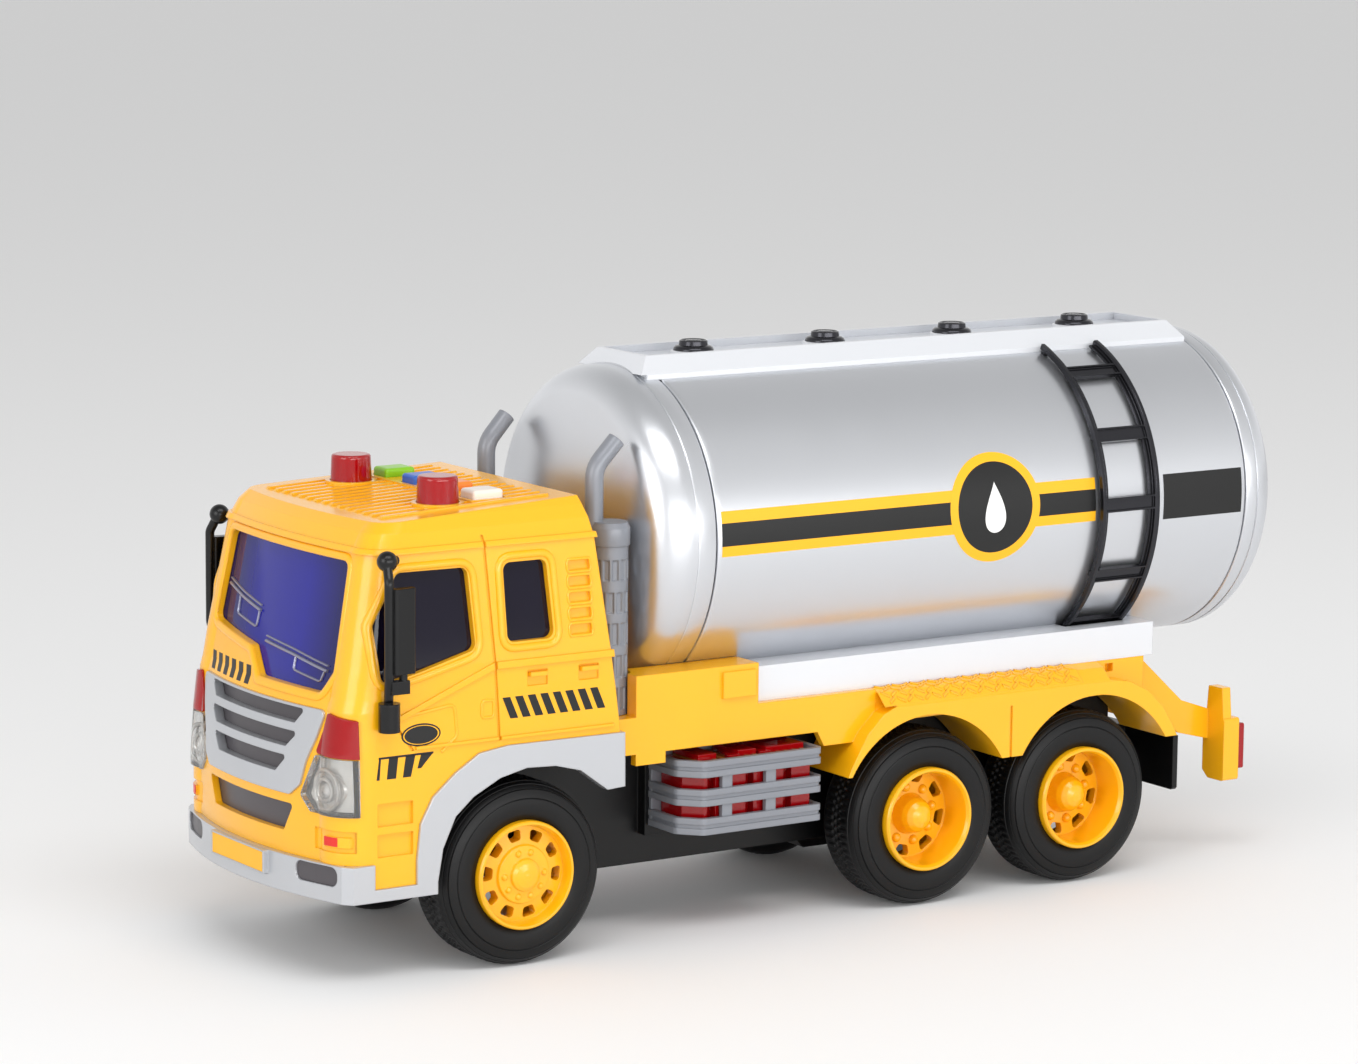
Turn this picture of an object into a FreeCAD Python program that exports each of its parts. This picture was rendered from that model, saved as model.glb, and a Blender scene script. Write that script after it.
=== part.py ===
import FreeCAD, Part
import math
import os

# Friction-drive toy tanker truck, light-and-sound type, in millimetres.
# +X points to the truck's nose, +Y to its left side, +Z up, wheels stand on Z = 0.
# Pieces are drawn from a working datum under the front end of the tank and are moved
# along X at the end, so that the whole truck is centred on X = 0.

V = FreeCAD.Vector

# ---- overall ----
NOSE_X = 134.5            # foremost point, rim of the number plate
TAIL_X = -160.0           # rearmost point, crown of the tank's rear end
CENTRE_SHIFT = -(NOSE_X + TAIL_X) / 2.0
PLAY = 0.05               # running clearance on radius
GAP = 0.10                # assembly gap between fixed mouldings

# ---- wheels and axles ----
WHEEL_R = 23.0
AXLE_Z = WHEEL_R          # wheels stand on the floor
ARCH_PLAY = 4.3            # gap between tyre and fender arch
TYRE_OUT_Y = 41.4
TYRE_IN_Y = 24.4
RIM_R = 13.5
RIM_LIP_Y = 42.7
AXLE_R = 1.5
AXLE_FRONT_X = 77.5
AXLE_MID_X = -43.7
AXLE_REAR_X = -93.9
HUB_BOLTS = 10
FRONT_HOLES = 10
REAR_HOLES = 8

# ---- deck and saddle ----
DECK_Z = 57.6             # top of the deck rail
DECK_BASE_Z = 48.3
DECK_HALF = 35.0
FENDER_Y = 41.5
SADDLE_TOP_Z = 66.6
SADDLE_WEB = 0.4          # saddle thickness left under the tank

# ---- tank ----
TANK_R = 41.4
TANK_Z = DECK_Z + SADDLE_WEB + TANK_R
TANK_TOP_Z = TANK_Z + TANK_R
TANK_WALL = 1.6
TANK_SEAM_FRONT_X = 22.0
TANK_SEAM_REAR_X = -147.5
DOME_FRONT_X = 42.0
TRAY_HALF = 11.3          # walkway half width at its rim
TRAY_RISE = 3.0           # walkway rim above the tank's crown
HATCH_X = (2.4, -38.6, -79.6, -120.6)

# ---- cab ----
CAB_WALL = 1.8
CAB_SIDE_Y = 41.0
ROOF_REAR_X = 57.8
ROOF_REAR_Z = 113.9
ROOF_FRONT_X = 113.8
ROOF_FRONT_Z = 111.3
BEACON_X = 90.4
BEACON_Y = 21.4
BEACON_R = 5.3
BEACON_TOP_Z = 119.7
BUTTON_X = 78.0
KEY_FLANGE = 1.0
BUTTON_PITCH = 14.3
BUTTON_LEN = 8.5
BUTTON_WID = 7.0
BUTTON_TOP_Z = 115.6
BUTTON_TRAVEL = 1.2
STACK_X = 45.2
STACK_Y = 28.4
STACK_R = 4.5

# ---- chassis ----
TUB_HALF = 20.5
TUB_BASE_Z = 16.3
TUB_WALL = 2.0

# ---- friction drive ----
MODULE = 0.8
PINION_TEETH = 8
COMPOUND_TEETH = 26
IDLER_TEETH = 16
ADDENDUM = 0.80 * MODULE
# just enough teeth on the axle's gear for the compound gear to clear the axle
compound_tip = MODULE * COMPOUND_TEETH / 2.0 + ADDENDUM
DRIVE_TEETH = math.ceil((compound_tip + AXLE_R + 4 * PLAY) / (MODULE / 2.0) - 1e-9) - PINION_TEETH
FLYWHEEL_R = 11.0
FLYWHEEL_Z = 28.0


# ---------------------------------------------------------------- helpers

def box(x0, x1, y0, y1, z0, z1):
    return Part.makeBox(x1 - x0, y1 - y0, z1 - z0, V(x0, y0, z0))


def rod_x(y, z, r, x0, x1):
    return Part.makeCylinder(r, x1 - x0, V(x0, y, z), V(1, 0, 0))


def rod_y(x, z, r, y0, y1):
    return Part.makeCylinder(r, y1 - y0, V(x, y0, z), V(0, 1, 0))


def rod_z(x, y, r, z0, z1):
    return Part.makeCylinder(r, z1 - z0, V(x, y, z0), V(0, 0, 1))


def cone_z(x, y, r0, r1, z0, z1):
    return Part.makeCone(r0, r1, z1 - z0, V(x, y, z0), V(0, 0, 1))


def fuse(shapes):
    first = shapes[0]
    if len(shapes) == 1:
        return first
    return first.multiFuse(shapes[1:]).removeSplitter()


def cut(shape, tools):
    for tool in tools:
        shape = shape.cut(tool)
    return shape


def mirrored(shape):
    return shape.mirror(V(0, 0, 0), V(0, 1, 0))


def both(shape):
    return [shape, mirrored(shape)]


def rounded_wire(points, radius):
    """Closed wire through 3-D points in one plane, every corner rounded by radius."""
    count = len(points)
    starts = []
    ends = []
    mids = []
    for i in range(count):
        here = points[i]
        back = points[i - 1].sub(here)
        ahead = points[(i + 1) % count].sub(here)
        r = radius[i] if isinstance(radius, (list, tuple)) else radius
        back_len = back.Length
        ahead_len = ahead.Length
        back.normalize()
        ahead.normalize()
        angle = back.getAngle(ahead)
        run = min(r / math.tan(angle / 2.0), 0.45 * back_len, 0.45 * ahead_len)
        true_r = run * math.tan(angle / 2.0)
        if r <= 0.001:
            starts.append(here)
            ends.append(here)
            mids.append(None)
            continue
        bisector = back.add(ahead)
        bisector.normalize()
        centre = here.add(bisector.multiply(true_r / math.sin(angle / 2.0)))
        toward = here.sub(centre)
        toward.normalize()
        starts.append(here.add(V(back).multiply(run)))
        ends.append(here.add(V(ahead).multiply(run)))
        mids.append(centre.add(toward.multiply(true_r)))
    edges = []
    for i in range(count):
        if mids[i] is not None:
            edges.append(Part.Arc(starts[i], mids[i], ends[i]).toShape())
        nxt = (i + 1) % count
        if ends[i].sub(starts[nxt]).Length > 1e-6:
            edges.append(Part.makeLine(ends[i], starts[nxt]))
    return Part.Wire(edges)


def prism_y(points, y0, y1, radius=0.0):
    """Outline given as (x, z) pairs, extruded from y0 to y1."""
    wire = rounded_wire([V(x, y0, z) for x, z in points], radius)
    return Part.Face(wire).extrude(V(0, y1 - y0, 0))


def prism_x(points, x0, x1, radius=0.0):
    """Outline given as (y, z) pairs, extruded from x0 to x1."""
    wire = rounded_wire([V(x0, y, z) for y, z in points], radius)
    return Part.Face(wire).extrude(V(x1 - x0, 0, 0))


def prism_z(points, z0, z1, radius=0.0):
    """Outline given as (x, y) pairs, extruded from z0 to z1."""
    wire = rounded_wire([V(x, y, z0) for x, y in points], radius)
    return Part.Face(wire).extrude(V(0, 0, z1 - z0))


def turned_y(profile, x, z):
    """Profile of (radius, y) pairs turned about the Y-direction line through (x, z)."""
    pts = [V(x + r, y, z) for r, y in profile]
    pts.append(pts[0])
    face = Part.Face(Part.makePolygon(pts))
    return face.revolve(V(x, 0, z), V(0, 1, 0), 360)


def turned_edges(edges, base, axis):
    return Part.Face(Part.Wire(edges)).revolve(base, axis, 360)


def pipe_path(points, r, bend):
    """Round bar of radius r along straight runs joined by bends of radius bend."""
    edges = []
    last = points[0]
    for i in range(1, len(points) - 1):
        here = points[i]
        back = points[i - 1].sub(here)
        ahead = points[i + 1].sub(here)
        back.normalize()
        ahead.normalize()
        angle = back.getAngle(ahead)
        run = bend / math.tan(angle / 2.0)
        start = here.add(V(back).multiply(run))
        end = here.add(V(ahead).multiply(run))
        bisector = back.add(ahead)
        bisector.normalize()
        centre = here.add(bisector.multiply(bend / math.sin(angle / 2.0)))
        toward = here.sub(centre)
        toward.normalize()
        edges.append(Part.makeLine(last, start))
        edges.append(Part.Arc(start, centre.add(toward.multiply(bend)), end).toShape())
        last = end
    edges.append(Part.makeLine(last, points[-1]))
    path = Part.Wire(edges)
    direction = points[1].sub(points[0])
    ring = Part.Wire([Part.makeCircle(r, points[0], direction)])
    return path.makePipeShell([ring], True, False)


# ---------------------------------------------------------------- cab body form

# Each level: height, rear x, front x on the centre line, front x at the corner,
# y where the front face ends, x where the side starts, half width.
CAB_LEVELS = (
    (18.0, 49.9, 132.3, 128.3, 30.5, 119.5, 41.0),
    (46.0, 49.9, 132.3, 128.3, 30.5, 119.5, 41.0),
    (57.0, 50.1, 131.2, 127.4, 30.5, 119.0, 41.0),
    (67.0, 51.4, 129.6, 126.1, 30.5, 118.0, 41.0),
    (70.0, 51.9, 127.8, 125.2, 30.2, 117.5, 41.0),
    (76.5, 52.8, 126.3, 124.0, 30.0, 116.5, 40.9),
    (104.5, 56.4, 120.9, 118.9, 29.6, 110.5, 38.6),
    (109.0, 57.1, 118.6, 116.6, 29.4, 108.5, 37.0),
    (112.0, 57.6, 115.4, 113.4, 29.0, 106.5, 34.8),
    (115.0, 58.0, 110.0, 108.0, 28.0, 104.0, 32.0),
)


def cab_form(inset):
    """Solid of the cab body, its skin moved inward by inset (outward if negative)."""
    wires = []
    for z, rear, front, corner, face_y, side_x, half in CAB_LEVELS:
        rear = rear + inset
        front = front - inset
        corner = corner - inset
        half = half - inset
        face_y = face_y - 0.4 * inset
        side_x = side_x - 0.4 * inset
        mid_x = side_x + 0.74 * (corner - side_x)
        mid_y = face_y + 0.74 * (half - face_y)
        p = [V(rear, -half, z), V(side_x, -half, z), V(corner, -face_y, z)]
        p = p + [V(corner, face_y, z), V(side_x, half, z), V(rear, half, z)]
        edges = [
            Part.makeLine(p[0], p[1]),
            Part.Arc(p[1], V(mid_x, -mid_y, z), p[2]).toShape(),
            Part.Arc(p[2], V(front, 0, z), p[3]).toShape(),
            Part.Arc(p[3], V(mid_x, mid_y, z), p[4]).toShape(),
            Part.makeLine(p[4], p[5]),
            Part.makeLine(p[5], p[0]),
        ]
        wires.append(Part.Wire(edges))
    body = Part.makeLoft(wires, True, True)
    slope = (ROOF_FRONT_Z - ROOF_REAR_Z) / (ROOF_FRONT_X - ROOF_REAR_X)
    top = []
    for x in (40.0, 140.0):
        top.append((x, ROOF_REAR_Z + slope * (x - ROOF_REAR_X) - inset))
    keep = [(40.0, 10.0), (140.0, 10.0), (140.0, top[1][1]), (40.0, top[0][1])]
    return body.common(prism_y(keep, -60, 60))


def roof_z(x):
    slope = (ROOF_FRONT_Z - ROOF_REAR_Z) / (ROOF_FRONT_X - ROOF_REAR_X)
    return ROOF_REAR_Z + slope * (x - ROOF_REAR_X)


FORM = {}
for inset in (-0.9, -0.6, 0.0, 0.5, 0.9, CAB_WALL, 1.9, 2.4, 3.0, 3.4):
    FORM[inset] = cab_form(inset)


def skin(outer, inner, region):
    """Part of the cab's skin between two insets, inside region."""
    return FORM[outer].common(region).cut(FORM[inner])


# outer and inner edges of the wheel-arch trim, as (x, z)
ARCH_OUTER = [(49.0, 55.5), (82.2, 55.7), (90.4, 54.6), (97.2, 50.4)]
ARCH_OUTER = ARCH_OUTER + [(103.4, 45.2), (106.8, 39.0), (107.8, 30.0), (107.8, 24.3)]
ARCH_INNER = [(54.0, 41.6), (61.8, 47.3), (69.0, 49.2), (77.2, 49.6)]
ARCH_INNER = ARCH_INNER + [(84.7, 47.9), (92.2, 44.1), (97.2, 39.8), (100.7, 32.3), (102.1, 24.3)]
arch_region = prism_y(ARCH_OUTER + [(107.8, 5.0), (40.0, 5.0), (40.0, 55.5)], -60, 60)

# front openings, as (y, z)
SURROUND = [(30.7, 66.8), (28.4, 60.0), (25.5, 53.8), (24.0, 48.0), (20.5, 45.2)]
SURROUND = SURROUND + [(-y, z) for y, z in reversed(SURROUND)]
RED_LENS = [(32.2, 66.6), (28.9, 56.4), (46.0, 56.2), (46.0, 64.4)]
CLEAR_LENS = [(28.8, 56.1), (24.6, 45.8), (28.1, 42.2), (46.0, 42.2), (46.0, 55.9)]
LOWER_GRILLE = [(21.3, 42.8), (17.6, 35.9), (-17.6, 35.9), (-21.3, 42.8)]
SLOTS = (
    [(23.7, 66.2), (20.2, 62.4), (-20.2, 62.4), (-23.7, 66.2)],
    [(22.0, 60.4), (17.8, 56.4), (-17.8, 56.4), (-22.0, 60.4)],
    [(18.8, 54.3), (14.5, 50.0), (-14.5, 50.0), (-18.8, 54.3)],
)
LAMP_X0 = 123.0

surround_region = prism_x(SURROUND, 118, 140, 1.5)
red_region = prism_x(RED_LENS, LAMP_X0, 140, 0.8)
clear_region = prism_x(CLEAR_LENS, LAMP_X0, 140, 1.2)
lower_grille_region = prism_x(LOWER_GRILLE, 118, 140, 0.8)

parts = {}


# ---------------------------------------------------------------- cab shell

def windscreen_region():
    outline = [(29.4, 102.0), (-29.4, 102.0), (-31.0, 79.5), (-7.0, 76.8)]
    outline = outline + [(-0.5, 70.4), (26.5, 70.4), (30.2, 76.0)]
    return prism_x(outline, 112, 140, 2.2)


DOOR_WINDOW = [(112.0, 100.0), (118.4, 87.7), (117.2, 73.6), (106.8, 75.8), (91.0, 79.9)]
DOOR_WINDOW = DOOR_WINDOW + [(92.6, 99.8)]
REAR_WINDOW = [(70.4, 100.0), (68.8, 80.7), (82.0, 80.7), (82.6, 100.0)]

shell = FORM[0.0]
# belt and gutter ridges stand a little proud of the sides
belt = prism_y([(48, 74.6), (86, 74.6), (114, 63.8), (114, 65.2), (86, 76.4), (48, 76.4)], -60, 60)
gutter = box(48, 140, -60, 60, 104.2, 105.6)
sill_band = box(48, 108, -60, 60, 57.2, 58.0)
for band in (belt, gutter, sill_band):
    ridge = FORM[-0.6].common(band).common(box(52, 114, -60, 60, 50, 110))
    ridge = ridge.cut(box(40, 120, -36, 36, 50, 110))
    shell = shell.fuse(ridge)
brow = FORM[-0.6].common(gutter)
shell = shell.fuse(brow)
# roof ribs run fore and aft
for i in range(15):
    y = -28.0 + 4.0 * i
    low = roof_z(63.0) - 0.6
    rib = [(63.0, low), (63.5, roof_z(63.5) + 0.55), (110.0, roof_z(110.0) + 0.55)]
    rib = rib + [(111.0, roof_z(111.0) - 0.3)]
    shell = shell.fuse(prism_y(rib, y - 0.7, y + 0.7))
# sockets for the two beacons
for side in (-1, 1):
    shell = shell.fuse(rod_z(BEACON_X, side * BEACON_Y, BEACON_R + 1.2, 110.5, 113.2))
# flat pad round the button row
pad_y = 1.5 * BUTTON_PITCH + BUTTON_WID / 2 + 1.6
pad_x = BUTTON_LEN / 2 + 1.75
pad = box(BUTTON_X - pad_x, BUTTON_X + pad_x, -pad_y, pad_y, 111.5, roof_z(BUTTON_X) + 0.55)
shell = shell.fuse(pad)

shell = shell.cut(FORM[CAB_WALL])
# four posts under the roof carry the circuit board
for x in (68.5, 99.0):
    for y in (-28.5, 28.5):
        post = rod_z(x, y, 2.2, 103.9, roof_z(x) - 0.5)
        shell = shell.fuse(post)
shell = shell.cut(arch_region)
shell = shell.cut(box(40, 150, -60, 60, 0, 24.3))
shell = shell.cut(box(119.4, 150, -60, 60, 0, 30.4))
shell = shell.cut(windscreen_region())
for outline in (DOOR_WINDOW, REAR_WINDOW):
    shell = shell.cut(prism_y(outline, -60, 60, 2.0))
shell = cut(shell, [surround_region, lower_grille_region])
shell = cut(shell, both(red_region) + both(clear_region))
# door seams, 0.5 deep
door_rear = prism_y([(84.2, 57.0), (84.9, 57.0), (88.1, 107.0), (87.4, 107.0)], -60, 60)
door_front = prism_y([(108.2, 57.0), (108.9, 57.0), (115.4, 66.0), (114.7, 66.0)], -60, 60)
for seam in (door_rear, door_front):
    shell = shell.cut(seam.cut(FORM[0.5]))
# five stacked vents behind the rear window
for i in range(5):
    z = 81.0 + 3.9 * i
    slot = box(58.0, 64.0, -60, 60, z, z + 2.3)
    shell = shell.cut(slot.cut(FORM[0.9]))
# door handles: grip bar over a shallow scoop
for x0 in (71.0, 56.4):
    scoop = box(x0, x0 + 5.6, -60, 60, 69.6, 73.4)
    shell = shell.cut(scoop.cut(FORM[0.5]))
    bar = FORM[-0.9].common(box(x0 + 0.4, x0 + 5.2, -60, 60, 71.9, 73.0)).cut(FORM[0.9])
    shell = shell.fuse(bar)
# two step treads in front of the wheel arch
for z in (31.0, 38.5):
    recess = box(108.6, 118.2, -60, 60, z + 0.9, z + 6.4)
    shell = shell.cut(recess.cut(FORM[0.9]))
# recess for the painted indicator
ind = prism_x([(40.0, 33.4), (40.0, 38.6), (29.0, 38.6), (29.0, 33.4)], 118, 140)
for region in both(ind):
    shell = shell.cut(region.cut(FORM[0.5]))
for region in both(box(118, 140, 33.2, 39.2, 34.6, 37.2)):
    shell = shell.fuse(FORM[0.0].common(region).cut(FORM[0.9]))
# roof openings
for side in (-1, 1):
    hole = rod_z(BEACON_X, side * BEACON_Y, BEACON_R + PLAY, 105, 125)
    shell = shell.cut(hole)
for i in range(4):
    y = (i - 1.5) * BUTTON_PITCH
    half_x = BUTTON_LEN / 2 + 0.25
    half_y = BUTTON_WID / 2 + 0.25
    shell = shell.cut(box(BUTTON_X - half_x, BUTTON_X + half_x, y - half_y, y + half_y, 108, 120))
# sockets for the mirror arms
for piece in both(rod_y(113.6, 103.4, 1.3, 34.0, 44.0)):
    shell = shell.cut(piece)
parts["cab_shell"] = shell.removeSplitter()

# ---------------------------------------------------------------- cab trims and lamps

glass_band = box(60.0, 140.0, -60, 60, 68.6, 103.2)
glazing = skin(1.9, 3.0, glass_band)
parts["cab_glazing"] = glazing

surround = skin(-0.6, CAB_WALL, surround_region)
for slot in SLOTS:
    surround = surround.cut(prism_x(slot, 118, 140, 0.7))
parts["grille_surround"] = surround

backing_region = prism_x([(24.4, 66.8), (22.0, 34.4), (-22.0, 34.4), (-24.4, 66.8)], 115, 140, 1.0)
parts["grille_backing"] = skin(1.9, 3.0, backing_region)

for name, side in (("left", 1), ("right", -1)):
    red = skin(-0.6, CAB_WALL, red_region)
    clear = skin(-0.6, CAB_WALL, clear_region)
    if side < 0:
        red = mirrored(red)
        clear = mirrored(clear)
    parts["headlamp_red_" + name] = red
    parts["headlamp_lens_" + name] = clear

reflector_outline = [(31.2, 65.6), (25.6, 45.8), (28.6, 43.0), (46.0, 43.0), (46.0, 64.0)]
reflector_region = prism_x(reflector_outline, 116, 140, 1.0)
reflectors = []
for side in (1, -1):
    plate = skin(2.4, 3.4, reflector_region)
    bowl = rod_x(31.8, 47.8, 4.6, 121.0, 126.0).cut(rod_x(31.8, 47.8, 3.4, 122.0, 127.0))
    bowl = bowl.common(FORM[1.9])
    body = plate.fuse(bowl)
    reflectors.append(body if side > 0 else mirrored(body))
parts["headlamp_reflectors"] = Part.makeCompound([s for r in reflectors for s in r.Solids])

# ---------------------------------------------------------------- front bumper

BUMPER_TOP_Z = 30.4
BUMPER_BASE_Z = 21.3


def bumper_outline(back, z):
    """Bowed bar outline at height z, moved inward by back."""
    x_end = 119.4
    half = 41.8 - back
    nose = 133.8 - back
    edge_x = 129.9 - back
    p = [V(x_end, -half, z), V(125.3, -half, z), V(127.3 - back, -39.4 + 0.4 * back, z)]
    p = p + [V(edge_x, -30.5, z), V(edge_x, 30.5, z)]
    p = p + [V(127.3 - back, 39.4 - 0.4 * back, z), V(125.3, half, z), V(x_end, half, z)]
    edges = [
        Part.makeLine(p[0], p[1]),
        Part.makeLine(p[1], p[2]),
        Part.makeLine(p[2], p[3]),
        Part.Arc(p[3], V(nose, 0, z), p[4]).toShape(),
        Part.makeLine(p[4], p[5]),
        Part.makeLine(p[5], p[6]),
        Part.makeLine(p[6], p[7]),
        Part.makeLine(p[7], p[0]),
    ]
    return Part.Face(Part.Wire(edges))


bar = bumper_outline(0.0, BUMPER_BASE_Z).extrude(V(0, 0, BUMPER_TOP_Z - BUMPER_BASE_Z))
bar_hollow = bumper_outline(3.0, BUMPER_BASE_Z).extrude(V(0, 0, BUMPER_TOP_Z - BUMPER_BASE_Z - 2.2))
bar = bar.cut(bar_hollow)
bar = bar.cut(box(119.0, 126.0, -38.8, 38.8, 20.0, 31.0))
arch_band = prism_y(ARCH_OUTER + list(reversed(ARCH_INNER)) + [(48.9, 41.9)], 38.4, 41.8)
strip = box(102.1, 119.5, 38.4, 41.8, BUMPER_BASE_Z, 24.3)
bumper = bar
for piece in both(arch_band) + both(strip):
    bumper = bumper.fuse(piece)
FOG_Y = 31.0
fog_outline = [(FOG_Y - 7, 25.2), (FOG_Y + 7, 25.2), (FOG_Y + 7, 30.0), (FOG_Y - 7, 30.0)]
fog_region = prism_x(fog_outline, 120, 140, 2.0)
fog_depth = bumper_outline(1.4, 20.0).extrude(V(0, 0, 12.0))
for region in both(fog_region):
    bumper = bumper.cut(region.cut(fog_depth))
PLATE_X = NOSE_X - 0.3       # face of the number plate, inside its raised rim
plate = box(132.0, NOSE_X, -13.5, 13.5, 24.5, 30.3)
plate = plate.cut(box(PLATE_X, NOSE_X + 1, -13.1, 13.1, 24.9, 29.9))
bumper = bumper.fuse(plate)
parts["front_bumper"] = bumper.removeSplitter()

fog_skin = bumper_outline(0.5, 20.0).extrude(V(0, 0, 12.0)).cut(fog_depth)
fog = prism_x(fog_outline, 120, 140, 2.0).common(fog_skin)
parts["fog_lamp_inserts"] = Part.makeCompound([fog.Solids[0], mirrored(fog).Solids[0]])

# ---------------------------------------------------------------- roof controls

for name, side in (("left", 1), ("right", -1)):
    y = side * BEACON_Y
    dome = cone_z(BEACON_X, y, BEACON_R, BEACON_R - 0.4, 110.0, BEACON_TOP_Z)
    flange = rod_z(BEACON_X, y, BEACON_R + 1.1, 109.0, 110.2)
    lens = dome.fuse(flange)
    lens = lens.cut(cone_z(BEACON_X, y, BEACON_R - 1.2, BEACON_R - 1.5, 108.0, BEACON_TOP_Z - 1.2))
    parts["beacon_" + name] = lens

BUTTON_NAMES = ("button_green", "button_blue", "button_amber", "button_clear")
BOARD_Z = 102.6
BOARD_TOP_Z = 103.8
for i in range(4):
    y = (i - 1.5) * BUTTON_PITCH
    half_x = BUTTON_LEN / 2
    half_y = BUTTON_WID / 2
    cap = box(BUTTON_X - half_x, BUTTON_X + half_x, y - half_y, y + half_y, 109.2, BUTTON_TOP_Z)
    cap = cap.makeFillet(0.9, [e for e in cap.Edges if e.BoundBox.ZMax > BUTTON_TOP_Z - 0.01])
    flange = box(BUTTON_X - half_x - KEY_FLANGE, BUTTON_X + half_x + KEY_FLANGE,
                 y - half_y - KEY_FLANGE, y + half_y + KEY_FLANGE, 109.2, 110.6)
    stem = box(BUTTON_X - 1.5, BUTTON_X + 1.5, y - 1.5, y + 1.5, 108.6, 109.4)
    tip = rod_z(BUTTON_X, y, 1.5, 106.7, 108.8)
    parts[BUTTON_NAMES[i]] = fuse([cap, flange, stem, tip])

board = box(65.0, 102.0, -32.0, 32.0, BOARD_Z, BOARD_TOP_Z)
for i in range(4):
    y = (i - 1.5) * BUTTON_PITCH
    switch = box(BUTTON_X - 3, BUTTON_X + 3, y - 3, y + 3, BOARD_TOP_Z - 0.1, 107.2)
    well = rod_z(BUTTON_X, y, 1.75, 104.9, 108.0)
    board = board.fuse(switch).cut(well)
for side in (-1, 1):
    board = board.fuse(rod_z(BEACON_X, side * BEACON_Y, 1.5, BOARD_TOP_Z - 0.1, 111.5))
sound_chip = box(84.0, 96.0, -6.0, 6.0, BOARD_TOP_Z - 0.1, 105.6)
board = board.fuse(sound_chip)
parts["circuit_board"] = board.removeSplitter()

# ---------------------------------------------------------------- mirrors and exhausts

ball = Part.makeSphere(2.5, V(116.4, 42.4, 103.6))
peg = rod_y(113.6, 103.4, 1.25, 36.95, 41.2)
link = Part.makeCylinder(1.2, 4.4, V(113.6, 40.4, 103.4), V(0.72, 0.68, 0.05))
stalk_line = [V(116.6, 42.6, 103.6), V(117.6, 45.4, 99.0), V(117.6, 45.4, 76.0), V(116.8, 43.6, 69.5)]
stalk = pipe_path(stalk_line, 1.15, 2.5)
cup = rod_z(116.6, CAB_SIDE_Y + 2.65, 2.6, 62.9, 69.8)
head = prism_z([(110.4, 43.9), (116.8, 44.4), (116.8, 47.2), (111.0, 46.6)], 77.0, 97.5, 0.7)
clamp_low = box(112.6, 117.4, 44.4, 46.6, 72.2, 75.4)
clamp_rod = rod_z(113.8, 45.5, 1.0, 73.5, 78.0)
mirror = fuse([peg, link, ball, stalk, cup, head, clamp_low, clamp_rod])
parts["mirror_left"] = mirror
parts["mirror_right"] = mirrored(mirror)

stack = rod_z(STACK_X, STACK_Y, STACK_R, DECK_Z, 105.8)
for z in (62.0, 70.0, 78.0, 86.0, 94.0):
    stack = stack.fuse(rod_z(STACK_X, STACK_Y, STACK_R + 0.35, z, z + 1.8))
stack = stack.fuse(rod_z(STACK_X, STACK_Y, STACK_R + 0.35, 100.0, 104.6))
pipe = pipe_path([V(48.4, 25.9, 92.0), V(48.4, 25.9, 119.4), V(42.2, 26.2, 125.6)], 2.3, 6.0)
stack = fuse([stack, pipe])
parts["exhaust_left"] = stack
parts["exhaust_right"] = mirrored(stack)

# ---------------------------------------------------------------- tank

def arc_centre(p, q, t):
    """Centre and radius of the circle through three (x, r) points."""
    d = 2.0 * (p[0] * (q[1] - t[1]) + q[0] * (t[1] - p[1]) + t[0] * (p[1] - q[1]))
    pp = p[0] ** 2 + p[1] ** 2
    qq = q[0] ** 2 + q[1] ** 2
    tt = t[0] ** 2 + t[1] ** 2
    cx = (pp * (q[1] - t[1]) + qq * (t[1] - p[1]) + tt * (p[1] - q[1])) / d
    cr = (pp * (t[0] - q[0]) + qq * (p[0] - t[0]) + tt * (q[0] - p[0])) / d
    return cx, cr, math.hypot(p[0] - cx, p[1] - cr)


def crown_mid(edge, apex_x):
    """Half-way point of a crown arc whose centre lies on the tank's axis."""
    x, r = edge
    cx = (x * x + r * r - apex_x * apex_x) / (2.0 * (x - apex_x))
    radius = abs(apex_x - cx)
    side = 1.0 if apex_x > cx else -1.0
    return cx + side * math.sqrt(radius * radius - 0.25 * r * r), 0.5 * r


def dome_edges(x_seam, straight, knuckle, edge, apex_x, wall, sign):
    """Closed half-section of a dished end, in the XZ plane above the tank's axis."""
    def at(pair):
        return V(pair[0], 0, TANK_Z + pair[1])
    start = (straight, TANK_R)
    cx, cr, kr = arc_centre(start, knuckle, edge)
    ratio = (kr - wall) / kr
    in_start = (cx + (start[0] - cx) * ratio, cr + (start[1] - cr) * ratio)
    in_knuckle = (cx + (knuckle[0] - cx) * ratio, cr + (knuckle[1] - cr) * ratio)
    in_edge = (cx + (edge[0] - cx) * ratio, cr + (edge[1] - cr) * ratio)
    in_apex = apex_x - sign * wall
    return [
        Part.makeLine(at((x_seam, TANK_R)), at(start)),
        Part.Arc(at(start), at(knuckle), at(edge)).toShape(),
        Part.Arc(at(edge), at(crown_mid(edge, apex_x)), at((apex_x, 0.0))).toShape(),
        Part.makeLine(at((apex_x, 0.0)), at((in_apex, 0.0))),
        Part.Arc(at((in_apex, 0.0)), at(crown_mid(in_edge, in_apex)), at(in_edge)).toShape(),
        Part.Arc(at(in_edge), at(in_knuckle), at(in_start)).toShape(),
        Part.makeLine(at(in_start), at((x_seam, in_start[1]))),
        Part.makeLine(at((x_seam, in_start[1])), at((x_seam, TANK_R))),
    ]


AXIS_BASE = V(0, 0, TANK_Z)
AXIS_X = V(1, 0, 0)
barrel = rod_x(0, TANK_Z, TANK_R, TANK_SEAM_REAR_X, TANK_SEAM_FRONT_X)
barrel = barrel.cut(rod_x(0, TANK_Z, TANK_R - TANK_WALL, TANK_SEAM_REAR_X - 1, TANK_SEAM_FRONT_X + 1))
parts["tank_barrel"] = barrel

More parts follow.
